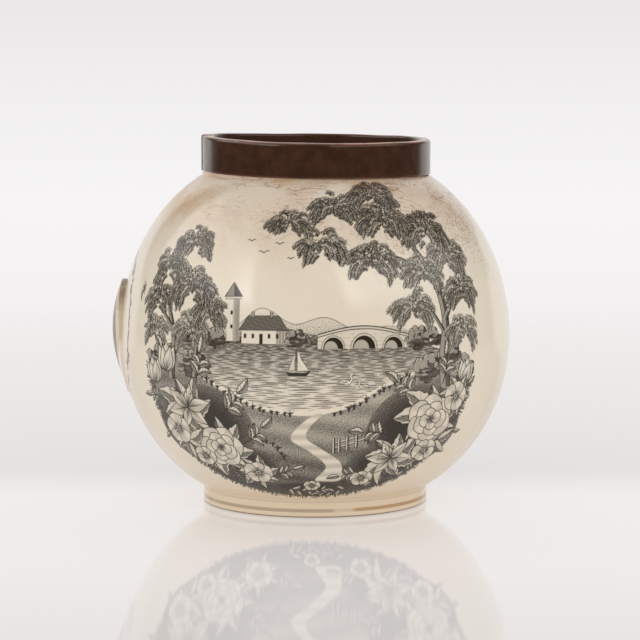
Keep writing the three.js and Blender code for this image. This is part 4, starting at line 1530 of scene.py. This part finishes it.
brownCopper = copperMaterial()
collarPlaces, collarFaces, collarWearHighlightAndShade = collarMesh()
collarPiece = addMesh("copper_collar", collarPlaces, collarFaces, brownCopper)
collarPiece.data.attributes.new("edge", "FLOAT", "POINT").data.foreach_set("value", collarWearHighlightAndShade)
collarPiece.data.set_sharp_from_angle(angle=math.radians(50))
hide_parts("rim_collar")
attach(collarPiece, "root")
print("stage 5: copper collar, %d faces" % len(collarPiece.data.polygons))


# plaster under the collar keeps its construction shape

def plasterMaterial():
    material, tree = newMaterial("agedPlaster")
    place = addNode(tree, "TexCoord").outputs["Object"]
    grain = noise(tree, place, 260.0, 5.0, 0.7)
    colour = mixColour(tree, ramp(tree, grain, 0.3, 0.7),
                       photoColour(150, 130, 100), photoColour(196, 180, 152))
    pocked = bump(tree, grain, 0.0003, 0.6)
    finishMaterial(tree, Base_Color=colour, Roughness=0.92, Normal=pocked)
    return material


agedPlaster = plasterMaterial()
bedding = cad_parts["collar_bedding"]
bedding.data.materials.clear()
bedding.data.materials.append(agedPlaster)


# oval boss on the left side

boss = dict(
    height=57 * mm, width=39 * mm, centre=82.6 * mm, proud=4 * mm, arc=59.5 * mm, apex=87 * mm,
    leastEdge=0.6 * mm, sideFall=0.68, gap=0.3 * mm, rings=44, steps=160, ovalShare=(0.76, 0.82),
    cream=photoColour(232, 222, 212), ochre=photoColour(204, 186, 156), lustre=photoColour(104, 86, 86),
    umber=photoColour(128, 104, 84),
)


def bossPoint(across, up, lift):
    b = boss
    height = b["centre"] + up * b["height"] / 2
    angle = math.pi - across * b["width"] / 2 / bellyRadius
    face = bellyRadius + b["proud"] - b["arc"] + math.sqrt(b["arc"] ** 2 - (height - b["apex"]) ** 2)
    reach = max(b["leastEdge"] + b["gap"], face - globeRadius(height))
    full = b["gap"] + (reach - b["gap"]) * (1 - b["sideFall"] * across ** 2)
    radius = globeRadius(height) + (full if lift is None else lift)
    return (axisX + radius * math.cos(angle), radius * math.sin(angle), height)


def bossMesh():
    b = boss
    places, faces = [bossPoint(0, 0, None)], []
    rings = [(k / b["rings"], None) for k in range(1, b["rings"] + 1)]
    rings += [(1.0, 0.3 * mm), (1.0, -0.4 * mm)]
    for radius, lift in rings:
        for k in range(b["steps"]):
            angle = 2 * math.pi * k / b["steps"]
            places.append(bossPoint(radius * math.cos(angle), radius * math.sin(angle), lift))
    for k in range(b["steps"]):
        after = (k + 1) % b["steps"]
        faces.append((0, 1 + after, 1 + k))
        for ring in range(len(rings) - 1):
            low, high = 1 + ring * b["steps"], 1 + (ring + 1) * b["steps"]
            faces.append((low + k, low + after, high + after, high + k))
    return places, faces


def bossMaterial():
    material, tree = newMaterial("bossLustre")
    place = addNode(tree, "TexCoord").outputs["Object"]
    blur = noise(tree, place, 90.0, 4.0, 0.6)
    # oval of lustre, an ochre band round its upper part, and a cream border that is wider low down
    parts = addNode(tree, "SeparateXYZ", {"Vector": place}).outputs
    turn = maths(tree, "ARCTAN2", maths(tree, "ABSOLUTE", parts["Y"]), minus(tree, axisX, parts["X"]))
    across = times(tree, turn, bellyRadius / (boss["width"] / 2 * boss["ovalShare"][0]))
    up = minus(tree, parts["Z"], boss["centre"])
    up = maths(tree, "DIVIDE", up, boss["height"] / 2 * boss["ovalShare"][1])
    oval = maths(tree, "SQRT", squareSum(tree, across, up))
    oval = maths(tree, "ADD", oval, times(tree, minus(tree, blur, 0.5), 0.14))
    colour = mixColour(tree, ramp(tree, oval, 0.93, 1.05), boss["lustre"], boss["ochre"])
    tip = times(tree, ramp(tree, parts["Z"], 0.094, 0.106), ramp(tree, blur, 0.30, 0.60, 0.35, 0.85))
    colour = mixColour(tree, tip, colour, boss["umber"])
    pastOchre = minus(tree, oval, ramp(tree, parts["Z"], 0.062, 0.086, 0.97, 1.30))
    colour = mixColour(tree, ramp(tree, pastOchre, 0.0, 0.07), colour, boss["cream"])
    worn = noise(tree, place, 150.0, 5.0, 0.7)
    colour = mixColour(tree, ramp(tree, worn, 0.55, 0.75, 0.0, 0.6), colour, boss["umber"])
    dimples = bump(tree, blur, 0.0004, 0.3)
    rough = ramp(tree, worn, 0.3, 0.8, 0.16, 0.34)
    finishMaterial(tree, Base_Color=colour, Roughness=rough, Normal=dimples, IOR=1.55)
    return material


bossLustre = bossMaterial()
bossPiece = addMesh("oval_boss", *bossMesh(), bossLustre)
bossPiece.data.set_sharp_from_angle(angle=math.radians(40))
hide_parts("side_boss")
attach(bossPiece, "root")
print("stage 6: oval boss")
